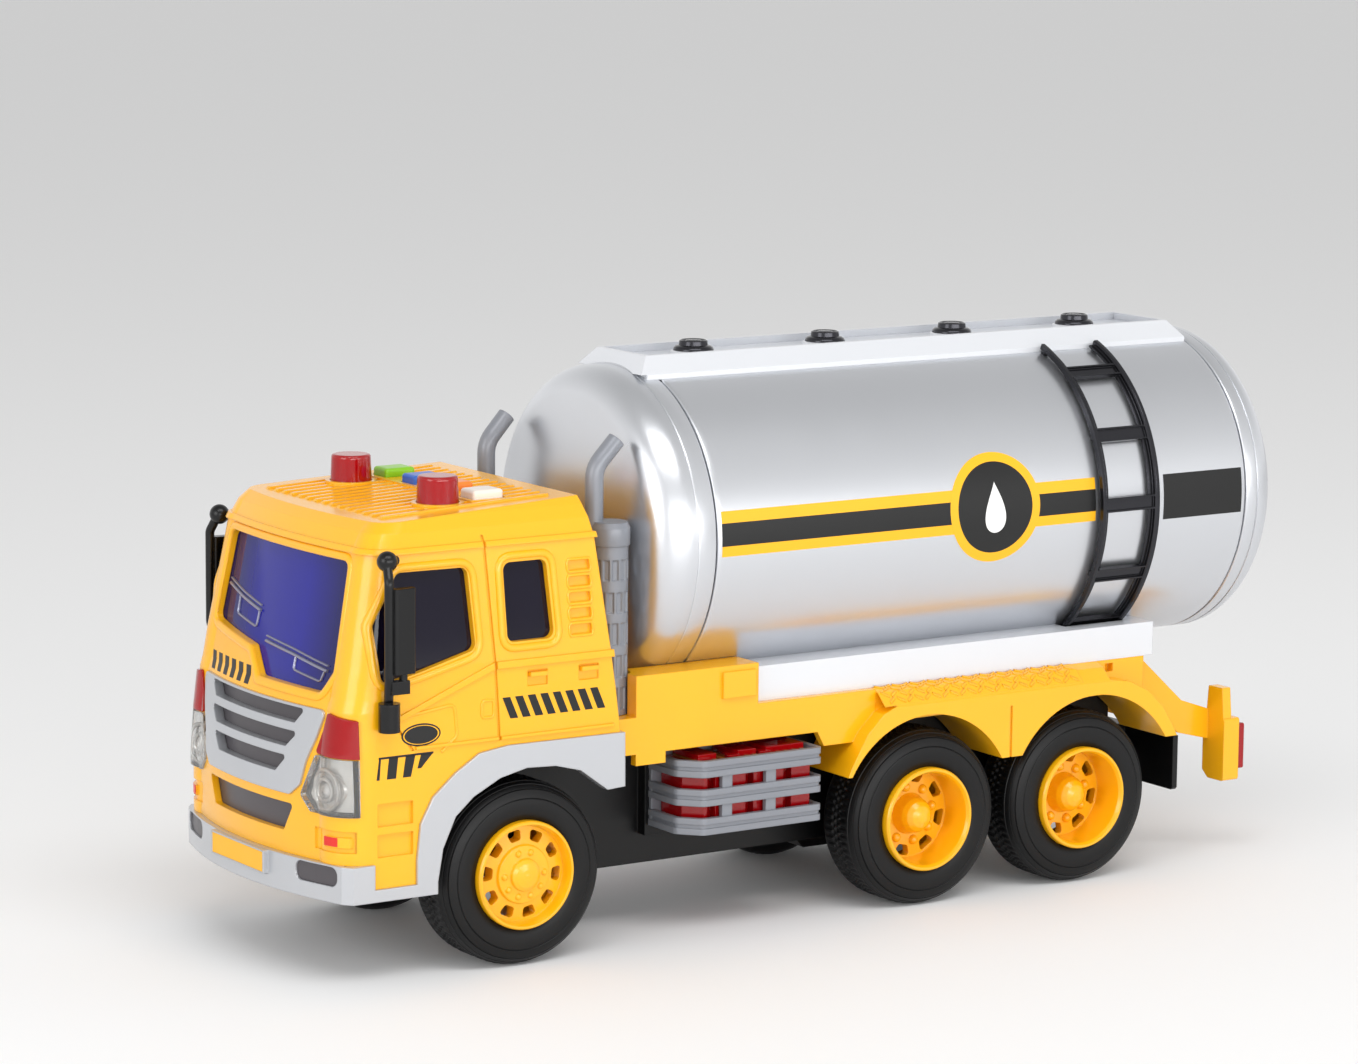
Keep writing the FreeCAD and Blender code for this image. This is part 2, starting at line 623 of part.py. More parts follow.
seam_x = TANK_SEAM_FRONT_X + 0.4
front_edges = dome_edges(seam_x, DOME_FRONT_X - 13.0, (DOME_FRONT_X - 6.6, TANK_R - 2.2),
                         (DOME_FRONT_X - 3.7, TANK_R - 7.4), DOME_FRONT_X, TANK_WALL, 1)
front_cap = turned_edges(front_edges, AXIS_BASE, AXIS_X)
spigot_r = TANK_R - TANK_WALL
spigot = rod_x(0, TANK_Z, spigot_r, TANK_SEAM_FRONT_X - 4.0, TANK_SEAM_FRONT_X + 2.0)
spigot = spigot.cut(rod_x(0, TANK_Z, spigot_r - 1.4, TANK_SEAM_FRONT_X - 5.0, TANK_SEAM_FRONT_X + 3.0))
web = rod_x(0, TANK_Z, TANK_R - 0.5, TANK_SEAM_FRONT_X, TANK_SEAM_FRONT_X + 1.0)
web = web.cut(rod_x(0, TANK_Z, spigot_r - 1.4, TANK_SEAM_FRONT_X - 1.0, TANK_SEAM_FRONT_X + 3.0))
parts["tank_front_cap"] = fuse([front_cap, spigot, web])

seam_x = TANK_SEAM_REAR_X - 0.4
rear_edges = dome_edges(seam_x, TAIL_X + 7.0, (TAIL_X + 3.3, TANK_R - 1.9),
                        (TAIL_X + 1.7, TANK_R - 6.4), TAIL_X, TANK_WALL, -1)
rear_cap = turned_edges(rear_edges, AXIS_BASE, AXIS_X)
spigot = rod_x(0, TANK_Z, spigot_r, TANK_SEAM_REAR_X - 2.0, TANK_SEAM_REAR_X + 4.0)
spigot = spigot.cut(rod_x(0, TANK_Z, spigot_r - 1.4, TANK_SEAM_REAR_X - 3.0, TANK_SEAM_REAR_X + 5.0))
web = rod_x(0, TANK_Z, TANK_R - 0.5, TANK_SEAM_REAR_X - 1.0, TANK_SEAM_REAR_X)
web = web.cut(rod_x(0, TANK_Z, spigot_r - 1.4, TANK_SEAM_REAR_X - 3.0, TANK_SEAM_REAR_X + 1.0))
parts["tank_rear_cap"] = fuse([rear_cap, spigot, web])

# walkway tray on top of the tank: sloped coaming walls round a sunken floor
tank_body = rod_x(0, TANK_Z, TANK_R, -170, 60)


def tray_frustum(x_front, x_rear, half, lean, z0, z1):
    low = [V(x_rear - lean, -half - lean, z0), V(x_front + lean, -half - lean, z0)]
    low = low + [V(x_front + lean, half + lean, z0), V(x_rear - lean, half + lean, z0)]
    high = [V(x_rear, -half, z1), V(x_front, -half, z1), V(x_front, half, z1), V(x_rear, half, z1)]
    wires = [Part.makePolygon(low + [low[0]]), Part.makePolygon(high + [high[0]])]
    return Part.makeLoft(wires, True, True)


top = TANK_TOP_Z
tray_front = TANK_SEAM_FRONT_X + 2.2
tray_rear = TANK_SEAM_REAR_X + 4.3
tray = tray_frustum(tray_front, tray_rear, TRAY_HALF, 3.6, top - 1.4, top + TRAY_RISE)
foot = TRAY_HALF + 3.6
tray = tray.fuse(box(tray_rear - 3.6, tray_front + 1.8, -foot, foot, top - 5.2, top - 1.4))
well_z = top + TRAY_RISE + 0.2
tray = tray.cut(tray_frustum(tray_front - 1.2, tray_rear + 1.2, TRAY_HALF - 1.2, 1.4, top + 0.9, well_z))
for x in HATCH_X:
    tray = tray.fuse(rod_z(x, 0, 5.9, top - 0.4, top + 1.8))
tray = tray.cut(tank_body)
parts["walkway_tray"] = tray.removeSplitter()

caps = []
for x in HATCH_X:
    cap = rod_z(x, 0, 5.1, top + 1.8, top + 2.7).fuse(cone_z(x, 0, 5.1, 4.7, top + 2.7, top + 3.2))
    cap = cap.fuse(rod_z(x, 0, 3.6, top + 3.1, top + 4.3))
    cap = cap.fuse(cone_z(x, 0, 3.6, 3.2, top + 4.3, top + 4.7))
    caps.append(cap.removeSplitter())
parts["hatch_caps"] = Part.makeCompound([cap.Solids[0] for cap in caps])

# ladders hug the tank on both sides
LADDER_RAILS = (-98.2, -115.0)
RUNG_ANGLES = (37.5, 63.8, 88.5, 114.6, 139.0)


def ring_sector(r0, r1, x0, x1, deg0, deg1):
    """Part ring about the tank's axis; angles from the top, toward +Y."""
    section = Part.makePolygon([
        V(x0, 0, TANK_Z + r0), V(x1, 0, TANK_Z + r0),
        V(x1, 0, TANK_Z + r1), V(x0, 0, TANK_Z + r1), V(x0, 0, TANK_Z + r0)])
    face = Part.Face(section)
    face.rotate(AXIS_BASE, AXIS_X, -deg0)
    return face.revolve(AXIS_BASE, V(-1, 0, 0), deg1 - deg0)


ladder_bits = []
for x in LADDER_RAILS:
    ladder_bits.append(ring_sector(TANK_R + 0.9, TANK_R + 2.5, x - 0.8, x + 0.8, 22.0, 150.0))
    for angle in RUNG_ANGLES + (23.0,):
        ladder_bits.append(ring_sector(TANK_R, TANK_R + 1.2, x - 0.8, x + 0.8, angle - 1.0, angle + 1.0))
for angle in RUNG_ANGLES:
    ladder_bits.append(ring_sector(TANK_R + 0.7, TANK_R + 1.9, LADDER_RAILS[1], LADDER_RAILS[0],
                                   angle - 2.4, angle + 2.4))
ladder = fuse(ladder_bits)
parts["ladder_left"] = ladder
parts["ladder_right"] = mirrored(ladder)

# saddle under the tank
saddle = box(-122.0, 6.2, -DECK_HALF, DECK_HALF, DECK_Z, SADDLE_TOP_Z)
saddle = saddle.fuse(box(-121.0, 5.0, -28.0, 28.0, 56.4, DECK_Z))
saddle = saddle.cut(tank_body)
saddle = saddle.cut(box(-119.0, 3.0, -24.5, -9.5, 50, 60.5))
saddle = saddle.cut(box(-119.0, 3.0, 9.5, 24.5, 50, 60.5))
# pockets that take the feet of the ladders
pocket = ring_sector(TANK_R - 1.0, TANK_R + 2.8, LADDER_RAILS[1] - 1.6, LADDER_RAILS[0] + 1.6, 100.0, 152.0)
for piece in both(pocket):
    saddle = saddle.cut(piece)
parts["tank_saddle"] = saddle.removeSplitter()

# ---------------------------------------------------------------- deck frame and fenders

deck = box(6.3, 42.8, -37.0, 37.0, DECK_BASE_Z, 68.0)
deck = deck.cut(box(8.5, 40.6, -34.8, 34.8, 40, 55.4))
deck = deck.cut(rod_x(0, TANK_Z, TANK_R + GAP, 0, 60))
ledge = box(42.8, 49.6, -37.0, 37.0, DECK_BASE_Z, DECK_Z)
deck = deck.fuse(ledge.cut(box(40, 47.6, -34.8, 34.8, 40, 55.4)))
for piece in both(rod_z(STACK_X, STACK_Y, STACK_R + 0.6, DECK_Z, 80)):
    deck = deck.cut(piece)
deck = deck.fuse(box(7.5, 17.4, 37.0, 37.9, 59.9, 66.6))
deck = deck.fuse(box(7.5, 17.4, -37.9, -37.0, 59.9, 66.6))
rear = box(-119.0, 6.3, -DECK_HALF, DECK_HALF, DECK_BASE_Z, DECK_Z)
rear = rear.cut(box(-117.0, 8.5, -32.8, 32.8, 40, 54.2))
deck = deck.fuse(rear)

# side valance between the front block and the fenders, with the step for the basket
valance = prism_y([(42.8, 57.6), (42.8, 45.4), (34.0, 45.4), (34.0, 48.3), (-12.0, 48.3),
                   (-14.0, 44.5), (-30.0, 44.5), (-30.0, 57.6)], 34.8, 37.0)
FENDER = [(-18.6, 36.4), (-20.4, 40.0), (-24.5, 47.0), (-29.5, 51.8), (-34.0, 53.6)]
FENDER = FENDER + [(-34.0, 58.0), (-103.0, 58.0), (-103.0, 53.6), (-109.5, 52.6)]
FENDER = FENDER + [(-116.0, 49.4), (-121.0, 44.6), (-124.6, 39.0), (-125.8, 36.4)]
fender = prism_y(FENDER, 22.0, FENDER_Y)
top_slope = prism_x([(20.0, 30.0), (20.0, 57.6), (35.0, 57.6), (38.0, 56.5), (41.5, 53.3), (41.5, 30.0)],
                    -130, 0)
fender = fender.common(top_slope)
inner_fill = prism_y([(-10.0, 48.3), (-34.0, 48.3), (-34.0, 57.0), (-10.0, 57.0)], 22.0, 36.9)
fender = fender.fuse(inner_fill)
fender = fender.cut(rod_y(AXLE_MID_X, AXLE_Z, WHEEL_R + ARCH_PLAY, 10, 60))
fender = fender.cut(rod_y(AXLE_REAR_X - 4.1, AXLE_Z - 0.8, WHEEL_R + ARCH_PLAY + 0.5, 10, 60))
fender = fender.cut(box(-70.6, -69.9, 40.9, 60, 30, 50))
hollow_mid = prism_y([(-66.0, 54.8), (-76.0, 54.8), (-73.6, 39.5), (-70.2, 39.5)], 24.0, 39.4)
fender = fender.cut(hollow_mid)
slot = box(-108.6, -106.0, 32.9, 36.0, 54.4, 56.6)
for piece in both(valance) + both(fender):
    deck = deck.fuse(piece)
deck = cut(deck, both(slot))
deck = deck.cut(box(-121.1, 5.1, -28.1, 28.1, 56.3, 60))
# chequered tread plates, drawn as a thin raised panel
tread = prism_x([(35.4, 57.3), (38.0, 56.35), (41.1, 53.5), (41.1, 53.9), (38.0, 56.85), (35.4, 57.8)],
                -94.0, -30.0)
for piece in both(tread):
    deck = deck.fuse(piece)

# tail arms, crossbar and lamp carriers
gusset = prism_y([(-117.0, 57.0), (-120.2, 57.0), (-135.5, 43.2), (-145.4, 39.8), (-145.4, 31.6),
                  (-134.5, 34.4), (-124.0, 44.0), (-117.0, 48.6)], 28.4, 31.2)
carrier_outline = [(29.2, 38.1), (29.2, 23.0), (31.5, 21.0), (38.0, 21.0), (38.0, 38.1)]
carrier = prism_x(carrier_outline, -150.3, -145.0, 0.8)
post = prism_x([(30.4, 38.0), (37.6, 38.0), (36.8, 46.4), (31.2, 46.4)], -147.8, -145.0, 0.3)
crossbar = box(-148.0, -145.0, -29.5, 29.5, 31.6, 38.0)
for piece in both(gusset) + both(carrier) + both(post) + [crossbar]:
    deck = deck.fuse(piece)
parts["deck_frame"] = deck.removeSplitter()

tail = prism_x([(30.2, 36.2), (30.2, 23.8), (37.2, 23.8), (37.2, 36.2)], -152.7, -150.3, 0.6)
parts["tail_lamps"] = Part.makeCompound(both(tail))

# ---------------------------------------------------------------- friction drive geometry

centre_mid = V(AXLE_MID_X, 0, AXLE_Z)
run_1 = MODULE * (DRIVE_TEETH + PINION_TEETH) / 2.0
run_2 = MODULE * (COMPOUND_TEETH + IDLER_TEETH) / 2.0
run_3 = MODULE * (IDLER_TEETH + PINION_TEETH) / 2.0
train_len = run_1 + run_2 + run_3
tilt = math.asin((FLYWHEEL_Z - AXLE_Z) / train_len)
along = V(math.cos(tilt), 0, math.sin(tilt))
centre_compound = centre_mid.add(V(along).multiply(run_1))
centre_idler = centre_mid.add(V(along).multiply(run_1 + run_2))
centre_fly = centre_mid.add(V(along).multiply(train_len))


def gear(teeth, centre, y0, y1, mark_deg, bore):
    """Spur gear about a Y-direction axis with a tooth pointing at mark_deg.

    Angles are measured in the XZ plane from +X toward +Z. Flanks are involute
    above the base circle and radial below it, thinned for free running."""
    pitch_r = MODULE * teeth / 2.0
    tip_r = pitch_r + ADDENDUM
    root_r = pitch_r - 1.15 * MODULE
    base_r = pitch_r * math.cos(math.radians(20.0))
    inv_pitch = math.tan(math.radians(20.0)) - math.radians(20.0)
    half_at_pitch = math.pi / (2.0 * teeth) - 0.09 / pitch_r
    radii = [root_r]
    start = max(root_r + 0.05, base_r)
    for k in range(6):
        radii.append(start + (tip_r - start) * k / 5.0)
    flank = []
    for r in radii:
        if r <= base_r:
            inv = 0.0
        else:
            a = math.acos(base_r / r)
            inv = math.tan(a) - a
        flank.append((r, half_at_pitch + inv_pitch - inv))
    pts = []
    for i in range(teeth):
        mid = math.radians(mark_deg) + 2.0 * math.pi * i / teeth
        for r, half in flank:
            pts.append((r, mid - half))
        for r, half in reversed(flank):
            pts.append((r, mid + half))
    corners = []
    for r, a in pts:
        corners.append(V(centre.x + r * math.cos(a), y0, centre.z + r * math.sin(a)))
    corners.append(corners[0])
    body = Part.Face(Part.makePolygon(corners)).extrude(V(0, y1 - y0, 0))
    if bore > 0:
        body = body.cut(rod_y(centre.x, centre.z, bore, y0 - 1, y1 + 1))
    return body


tilt_deg = math.degrees(tilt)
PIN_R = 0.9

drive_gear = gear(DRIVE_TEETH, centre_mid, 3.0, 7.0, tilt_deg, AXLE_R)
collar = rod_y(centre_mid.x, AXLE_Z, 3.4, 7.0, 9.0).cut(rod_y(centre_mid.x, AXLE_Z, AXLE_R, 6, 10))
parts["drive_gear"] = drive_gear.fuse(collar).removeSplitter()

half_pinion = 180.0 / PINION_TEETH
pinion = gear(PINION_TEETH, centre_compound, 1.5, 7.4, tilt_deg + 180.0 + half_pinion, 0)
big = gear(COMPOUND_TEETH, centre_compound, -2.0, 1.5, tilt_deg, 0)
compound = pinion.fuse(big)
compound = compound.cut(rod_y(centre_compound.x, centre_compound.z, PIN_R + PLAY, -10, 20))
parts["compound_gear"] = compound.removeSplitter()

half_idler = 180.0 / IDLER_TEETH
idler = gear(IDLER_TEETH, centre_idler, -2.2, 1.7, tilt_deg + 180.0 + half_idler, PIN_R + PLAY)
parts["idler_gear"] = idler

fly = gear(PINION_TEETH, centre_fly, -2.4, 2.6, tilt_deg + 180.0, 0)
fly = fly.fuse(rod_y(centre_fly.x, centre_fly.z, FLYWHEEL_R, -8.6, -3.4))
fly = fly.fuse(rod_y(centre_fly.x, centre_fly.z, 2.0, -3.4, -2.4))
fly = fly.fuse(rod_y(centre_fly.x, centre_fly.z, 1.0, -12.0, 11.0))
parts["flywheel"] = fly.removeSplitter()

# gear case: closed box round the train, with bearings for the axle and flywheel
drive_room = MODULE * DRIVE_TEETH / 2.0 + ADDENDUM + 0.46
compound_room = compound_tip + 1.26
idler_room = MODULE * IDLER_TEETH / 2.0 + ADDENDUM + 0.56
pinion_room = MODULE * PINION_TEETH / 2.0 + ADDENDUM + 0.56
case_rear = centre_mid.x - drive_room - 1.2
case_front = centre_fly.x + 13.8
case_low = centre_mid.z - drive_room - 0.7
case_outline = [(case_rear, case_low + 1.4), (case_rear, centre_mid.z + 10.0)]
case_outline = case_outline + [(case_rear + 7.6, centre_mid.z + 14.4)]
case_outline = case_outline + [(case_front - 7.0, centre_fly.z + 14.0)]
case_outline = case_outline + [(case_front, centre_fly.z + 10.0), (case_front, centre_fly.z - 8.0)]
case_outline = case_outline + [(centre_fly.x + 7.4, centre_fly.z - 13.3)]
case_outline = case_outline + [(centre_fly.x - 5.2, centre_fly.z - 13.3)]
case_outline = case_outline + [(centre_compound.x + 15.0, TUB_BASE_Z + GAP)]
case_outline = case_outline + [(centre_compound.x + 9.0, TUB_BASE_Z + GAP)]
case_outline = case_outline + [(centre_mid.x + 17.7, case_low), (centre_mid.x - 6.3, case_low)]
case_y0 = -11.6
case_y1 = 11.0
case = prism_y(case_outline, case_y0, case_y1, 1.0)
wall = 1.3
rooms = [
    rod_y(centre_mid.x, centre_mid.z, drive_room, -3.0, 9.4),
    rod_y(centre_compound.x, centre_compound.z, compound_room, -2.6, 7.8),
    rod_y(centre_idler.x, centre_idler.z, idler_room, -2.8, 3.2),
    rod_y(centre_fly.x, centre_fly.z, pinion_room, -9.2, 3.2),
    rod_y(centre_fly.x, centre_fly.z, FLYWHEEL_R + 0.8, -9.2, -2.95),
]
for room in rooms:
    case = case.cut(room)
case = case.cut(rod_y(centre_mid.x, AXLE_Z, AXLE_R + PLAY, -20, 20))
case = case.cut(rod_y(centre_fly.x, centre_fly.z, 1.0 + PLAY, -20, 20))
case = case.fuse(rod_y(centre_compound.x, centre_compound.z, PIN_R, -5.0, 9.5))
case = case.fuse(rod_y(centre_idler.x, centre_idler.z, PIN_R, -2.8, 9.5))
parts["gear_case"] = case.removeSplitter()

# ---------------------------------------------------------------- chassis

tub = box(-119.0, 52.0, -TUB_HALF, TUB_HALF, TUB_BASE_Z, DECK_BASE_Z)
tub = tub.cut(box(-117.0, 54.0, -18.5, 18.5, TUB_BASE_Z + TUB_WALL, 50))
nose = box(52.0, 118.0, -TUB_HALF, TUB_HALF, 18.3, 48.3)
nose = nose.cut(box(50.0, 116.0, -18.5, 18.5, 20.3, 50))
tub = tub.fuse(nose)
tub = tub.fuse(box(50.0, 52.0, -TUB_HALF, TUB_HALF, TUB_BASE_Z, 48.3))
floor = box(52.2, 115.6, -38.2, 38.2, 48.3, 50.3)
floor = floor.cut(box(60.0, 110.0, -14.0, 14.0, 48, 51))
tub = tub.fuse(floor)
# room for the gear case in the tub floor
tub = tub.cut(box(-58.0, 9.6, -12.2, 12.2, 10, TUB_BASE_Z + TUB_WALL + 1))
cover_room = box(20.0, 44.0, -13.0, 13.0, 10, TUB_BASE_Z + TUB_WALL + 1)
tub = tub.cut(cover_room)
# battery bay walls
CELL_R = 5.8
CELL_Z = TUB_BASE_Z + TUB_WALL + CELL_R + 2 * GAP
bay_top = CELL_Z + CELL_R + 1.9
bay = box(18.0, 46.0, -15.0, 15.0, TUB_BASE_Z + TUB_WALL, bay_top)
bay = bay.cut(box(20.0, 44.0, -13.0, 13.0, TUB_BASE_Z, bay_top - 1.6))
tub = tub.fuse(bay)
# cross ribs that carry the gear case
for x in (-59.8, 10.4):
    tub = tub.fuse(box(x - 0.8, x + 0.8, -18.6, 18.6, TUB_BASE_Z + 1.0, 40.0))
# axle bosses and bores
for x in (AXLE_FRONT_X, AXLE_MID_X, AXLE_REAR_X):
    for y0, y1 in ((-21.0, -16.0), (16.0, 21.0)):
        tub = tub.fuse(rod_y(x, AXLE_Z, 3.6, y0, y1))
    tub = tub.cut(rod_y(x, AXLE_Z, AXLE_R + PLAY, -30, 30))
# speaker slots in the nose floor
for i in range(5):
    x = 91.0 + 3.6 * i
    tub = tub.cut(box(x, x + 1.6, -9.0, 9.0, 18, 21))
# side plates that carry the baskets
for side in (-1, 1):
    y_a = 20.4 if side > 0 else -23.8
    y_b = 23.8 if side > 0 else -20.4
    tub = tub.fuse(box(-11.5, 31.5, y_a, y_b, 24.0, 48.2))
# mud flaps hang behind the rear wheels from a cross member
flap = prism_x([(18.5, 36.2), (18.5, 24.0), (21.0, 21.5), (40.4, 21.5), (41.0, 22.1), (41.0, 36.2)],
               -126.6, -125.0)
tie = box(-126.6, -118.9, -TUB_HALF, TUB_HALF, 28.0, 36.2)
for piece in both(flap) + [tie]:
    tub = tub.fuse(piece)
parts["chassis_tub"] = tub.removeSplitter()

cover = box(20.1, 43.9, -12.9, 12.9, TUB_BASE_Z, TUB_BASE_Z + TUB_WALL)
cover = cover.cut(rod_z(41.4, 0, 1.6, 10, 20))
for i in range(5):
    x = 24.0 + 2.6 * i
    cover = cover.cut(box(x, x + 1.0, -7.0, 7.0, 16.0, 16.9))
parts["battery_cover"] = cover

CELL_T = 5.4
cells = rod_y(30.0, CELL_Z, CELL_R, -1.5 * CELL_T, 1.5 * CELL_T)
for y in (-0.5 * CELL_T, 0.5 * CELL_T):
    ring = rod_y(30.0, CELL_Z, CELL_R + 1, y - 0.3, y + 0.3)
    cells = cells.cut(ring.cut(rod_y(30.0, CELL_Z, CELL_R - 0.4, y - 1, y + 1)))
parts["button_cells"] = cells

speaker = rod_z(98.0, 0, 13.0, 20.5, 22.3)
speaker = speaker.fuse(cone_z(98.0, 0, 12.0, 7.0, 22.3, 26.3))
speaker = speaker.fuse(rod_z(98.0, 0, 7.0, 26.3, 29.5))
speaker = speaker.cut(cone_z(98.0, 0, 11.0, 4.0, 20.4, 25.4))
parts["speaker"] = speaker

# ---------------------------------------------------------------- side baskets

def basket_loop(z0, z1):
    """One rail: a band bent round the front and rear of the basket."""
    line = [(30.5, 22.0), (30.5, 36.0), (25.4, 41.5), (-10.6, 41.5), (-10.6, 22.0)]
    outer = prism_z(line, z0, z1, [0.1, 2.6, 2.6, 1.4, 0.1])
    line = [(29.1, 20.0), (29.1, 35.4), (24.8, 40.1), (-9.2, 40.1), (-9.2, 20.0)]
    inner = prism_z(line, z0 - 1, z1 + 1, [0.1, 2.0, 2.0, 0.6, 0.1])
    return outer.cut(inner)


basket = None
for z0 in (26.6, 33.9, 41.2):
    rail = basket_loop(z0, z0 + 1.6).fuse(basket_loop(z0 + 2.6, z0 + 4.2))
    web_loop = basket_loop(z0 + 1.5, z0 + 2.7)
    line = [(30.1, 20.0), (30.1, 35.8), (25.2, 41.1), (-10.2, 41.1), (-10.2, 20.0)]
    shrink = prism_z(line, z0, z0 + 4.2, [0.1, 2.4, 2.4, 1.0, 0.1])
    rail = rail.fuse(web_loop.common(shrink))
    basket = rail if basket is None else basket.fuse(rail)
for x in (16.6, 3.4):
    basket = basket.fuse(box(x, x + 3.0, 39.6, 41.0, 27.0, 45.0))
basket = basket.fuse(box(-10.4, 30.3, 23.8, 24.9, 26.6, 45.4))
basket = basket.cut(box(-20, 40, 10, 23.8, 20, 50)).removeSplitter()
parts["basket_left"] = basket
parts["basket_right"] = mirrored(basket)

insert = prism_z([(27.6, 25.0), (27.6, 34.6), (23.6, 38.9), (-8.6, 38.9), (-8.6, 25.0)], 28.0, 44.4, 0.5)
for x in (21.5, 10.0, -1.5):
    insert = insert.cut(box(x - 1.2, x + 1.2, 36.4, 42.0, 27.0, 43.0))
for x0, x1 in ((19.0, 24.5), (7.0, 12.5), (-7.5, 4.0)):
    insert = insert.fuse(box(x0, x1, 25.6, 37.2, 44.2, 46.2))
insert = insert.removeSplitter()
parts["basket_insert_left"] = insert
parts["basket_insert_right"] = mirrored(insert)

# ---------------------------------------------------------------- wheels

GROOVE_R = WHEEL_R - 0.7
TYRE = [
    (RIM_R, 25.2), (RIM_R, 40.5), (RIM_R + 1.7, 41.2), (WHEEL_R - 5.4, TYRE_OUT_Y),
    (WHEEL_R - 3.0, 41.0), (WHEEL_R - 1.6, 40.2), (WHEEL_R - 0.6, 38.9), (WHEEL_R - 0.1, 37.4),
    (WHEEL_R, 35.9), (WHEEL_R, 34.6), (GROOVE_R, 34.4), (GROOVE_R, 33.8),
    (WHEEL_R, 33.6), (WHEEL_R, 32.2), (GROOVE_R, 32.0), (GROOVE_R, 31.4),
    (WHEEL_R, 31.2), (WHEEL_R, 29.9), (WHEEL_R - 0.1, 28.4), (WHEEL_R - 0.6, 26.9),
    (WHEEL_R - 1.6, 25.6), (WHEEL_R - 3.0, 24.8), (WHEEL_R - 5.4, TYRE_IN_Y), (RIM_R + 1.7, 24.6),
]
FRONT_HUB = [
    (0.0, 38.4), (AXLE_R, 38.4), (AXLE_R, 21.4), (3.2, 21.4), (3.2, 35.4), (11.4, 37.2), (11.4, 26.0),
    (RIM_R, 26.0), (RIM_R, 42.2), (13.2, RIM_LIP_Y), (12.6, RIM_LIP_Y), (12.2, 41.4), (11.9, 39.6),
    (7.4, 40.2), (7.1, 41.0), (4.1, 41.3), (3.9, 42.1), (3.0, 42.6), (1.5, 42.9), (0.0, 43.0),
]
REAR_HUB = [
    (0.0, 34.0), (AXLE_R, 34.0), (AXLE_R, 21.4), (3.2, 21.4), (3.2, 31.0), (12.2, 31.0),
    (12.2, 25.6), (RIM_R, 25.6), (RIM_R, 42.2), (13.2, RIM_LIP_Y), (12.6, RIM_LIP_Y), (12.1, 41.8),
    (11.6, 33.4), (5.4, 33.4), (5.0, 34.6), (4.6, 36.6), (3.9, 38.0), (2.8, 39.0), (1.4, 39.6),
    (0.0, 39.8),
]


def on_circle(x, z, r, deg):
    a = math.radians(deg)
    return x + r * math.cos(a), z + r * math.sin(a)


def hub_window(x, deg, inner, outer, y0, y1):
    """Cutter for a rim opening, wider outward; inner and outer are (radius, half angle)."""
    corners = []
    for r, a in ((inner[0], -inner[1]), (outer[0], -outer[1]), (outer[0], outer[1]), (inner[0], inner[1])):
        corners.append(on_circle(x, AXLE_Z, r, deg + a))
    return prism_y(corners, y0, y1, 0.75)


def front_hub(x):
    hub = turned_y(FRONT_HUB, x, AXLE_Z)
    for i in range(FRONT_HOLES):
        deg = 360.0 / FRONT_HOLES * i + 6.0
        hub = hub.cut(hub_window(x, deg, (8.5, 9.0), (11.2, 10.5), 33.0, 44.0))
    for i in range(HUB_BOLTS):
        bx, bz = on_circle(x, AXLE_Z, 5.6, 360.0 / HUB_BOLTS * i)
        hub = hub.fuse(Part.makeSphere(0.8, V(bx, 41.1, bz)))
    return hub.removeSplitter()


def rear_hub(x):
    hub = turned_y(REAR_HUB, x, AXLE_Z)
    for i in range(REAR_HOLES):
        deg = 360.0 / REAR_HOLES * i + 12.0
        hub = hub.cut(hub_window(x, deg, (8.4, 9.5), (11.3, 13.0), 30.0, 36.0))
        bx, bz = on_circle(x, AXLE_Z, 7.2, deg + 22.5)
        hub = hub.fuse(Part.makeSphere(1.2, V(bx, 33.6, bz)))
    return hub.removeSplitter()


for name, x in (("front", AXLE_FRONT_X), ("mid", AXLE_MID_X), ("rear", AXLE_REAR_X)):
    hub = front_hub(x) if name == "front" else rear_hub(x)
    tyre = turned_y(TYRE, x, AXLE_Z)
    reach = 38.4 if name == "front" else 34.0
    parts["axle_" + name] = rod_y(x, AXLE_Z, AXLE_R, -reach, reach)
    parts["hub_%s_left" % name] = hub
    parts["hub_%s_right" % name] = mirrored(hub)
    parts["tyre_%s_left" % name] = tyre
    parts["tyre_%s_right" % name] = mirrored(tyre)

# ---------------------------------------------------------------- export

os.makedirs("parts", exist_ok=True)
for node in sorted(parts):
    shape = parts[node].copy()
    shape.translate(V(CENTRE_SHIFT, 0, 0))
    if len(shape.Solids) == 1:
        shape = shape.Solids[0]
    shape.exportStep("parts/" + node + ".step")
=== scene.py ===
import math

import bmesh
import bpy
import numpy as np
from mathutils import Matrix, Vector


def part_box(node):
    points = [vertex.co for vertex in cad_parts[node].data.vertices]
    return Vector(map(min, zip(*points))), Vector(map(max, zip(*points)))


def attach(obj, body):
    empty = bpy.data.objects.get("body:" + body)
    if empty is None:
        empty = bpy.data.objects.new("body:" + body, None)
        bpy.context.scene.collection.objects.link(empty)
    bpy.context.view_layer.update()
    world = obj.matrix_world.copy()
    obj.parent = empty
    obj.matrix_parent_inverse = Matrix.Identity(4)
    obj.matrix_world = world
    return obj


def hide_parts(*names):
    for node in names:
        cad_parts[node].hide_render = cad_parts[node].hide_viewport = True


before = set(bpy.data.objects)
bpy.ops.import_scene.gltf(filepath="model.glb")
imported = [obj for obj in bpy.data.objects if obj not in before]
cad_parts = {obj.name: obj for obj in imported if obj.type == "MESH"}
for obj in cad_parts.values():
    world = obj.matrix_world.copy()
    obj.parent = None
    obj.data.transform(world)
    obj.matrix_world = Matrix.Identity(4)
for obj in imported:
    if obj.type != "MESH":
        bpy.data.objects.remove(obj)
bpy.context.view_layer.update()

# ---------------------------------------------------------------- cab body
# The driver's cab is one shell of yellow ABS, injection moulded, and clips to the chassis floor.
# Its skin is glossy, with the faint orange peel of a polished mould and softly rounded edges.


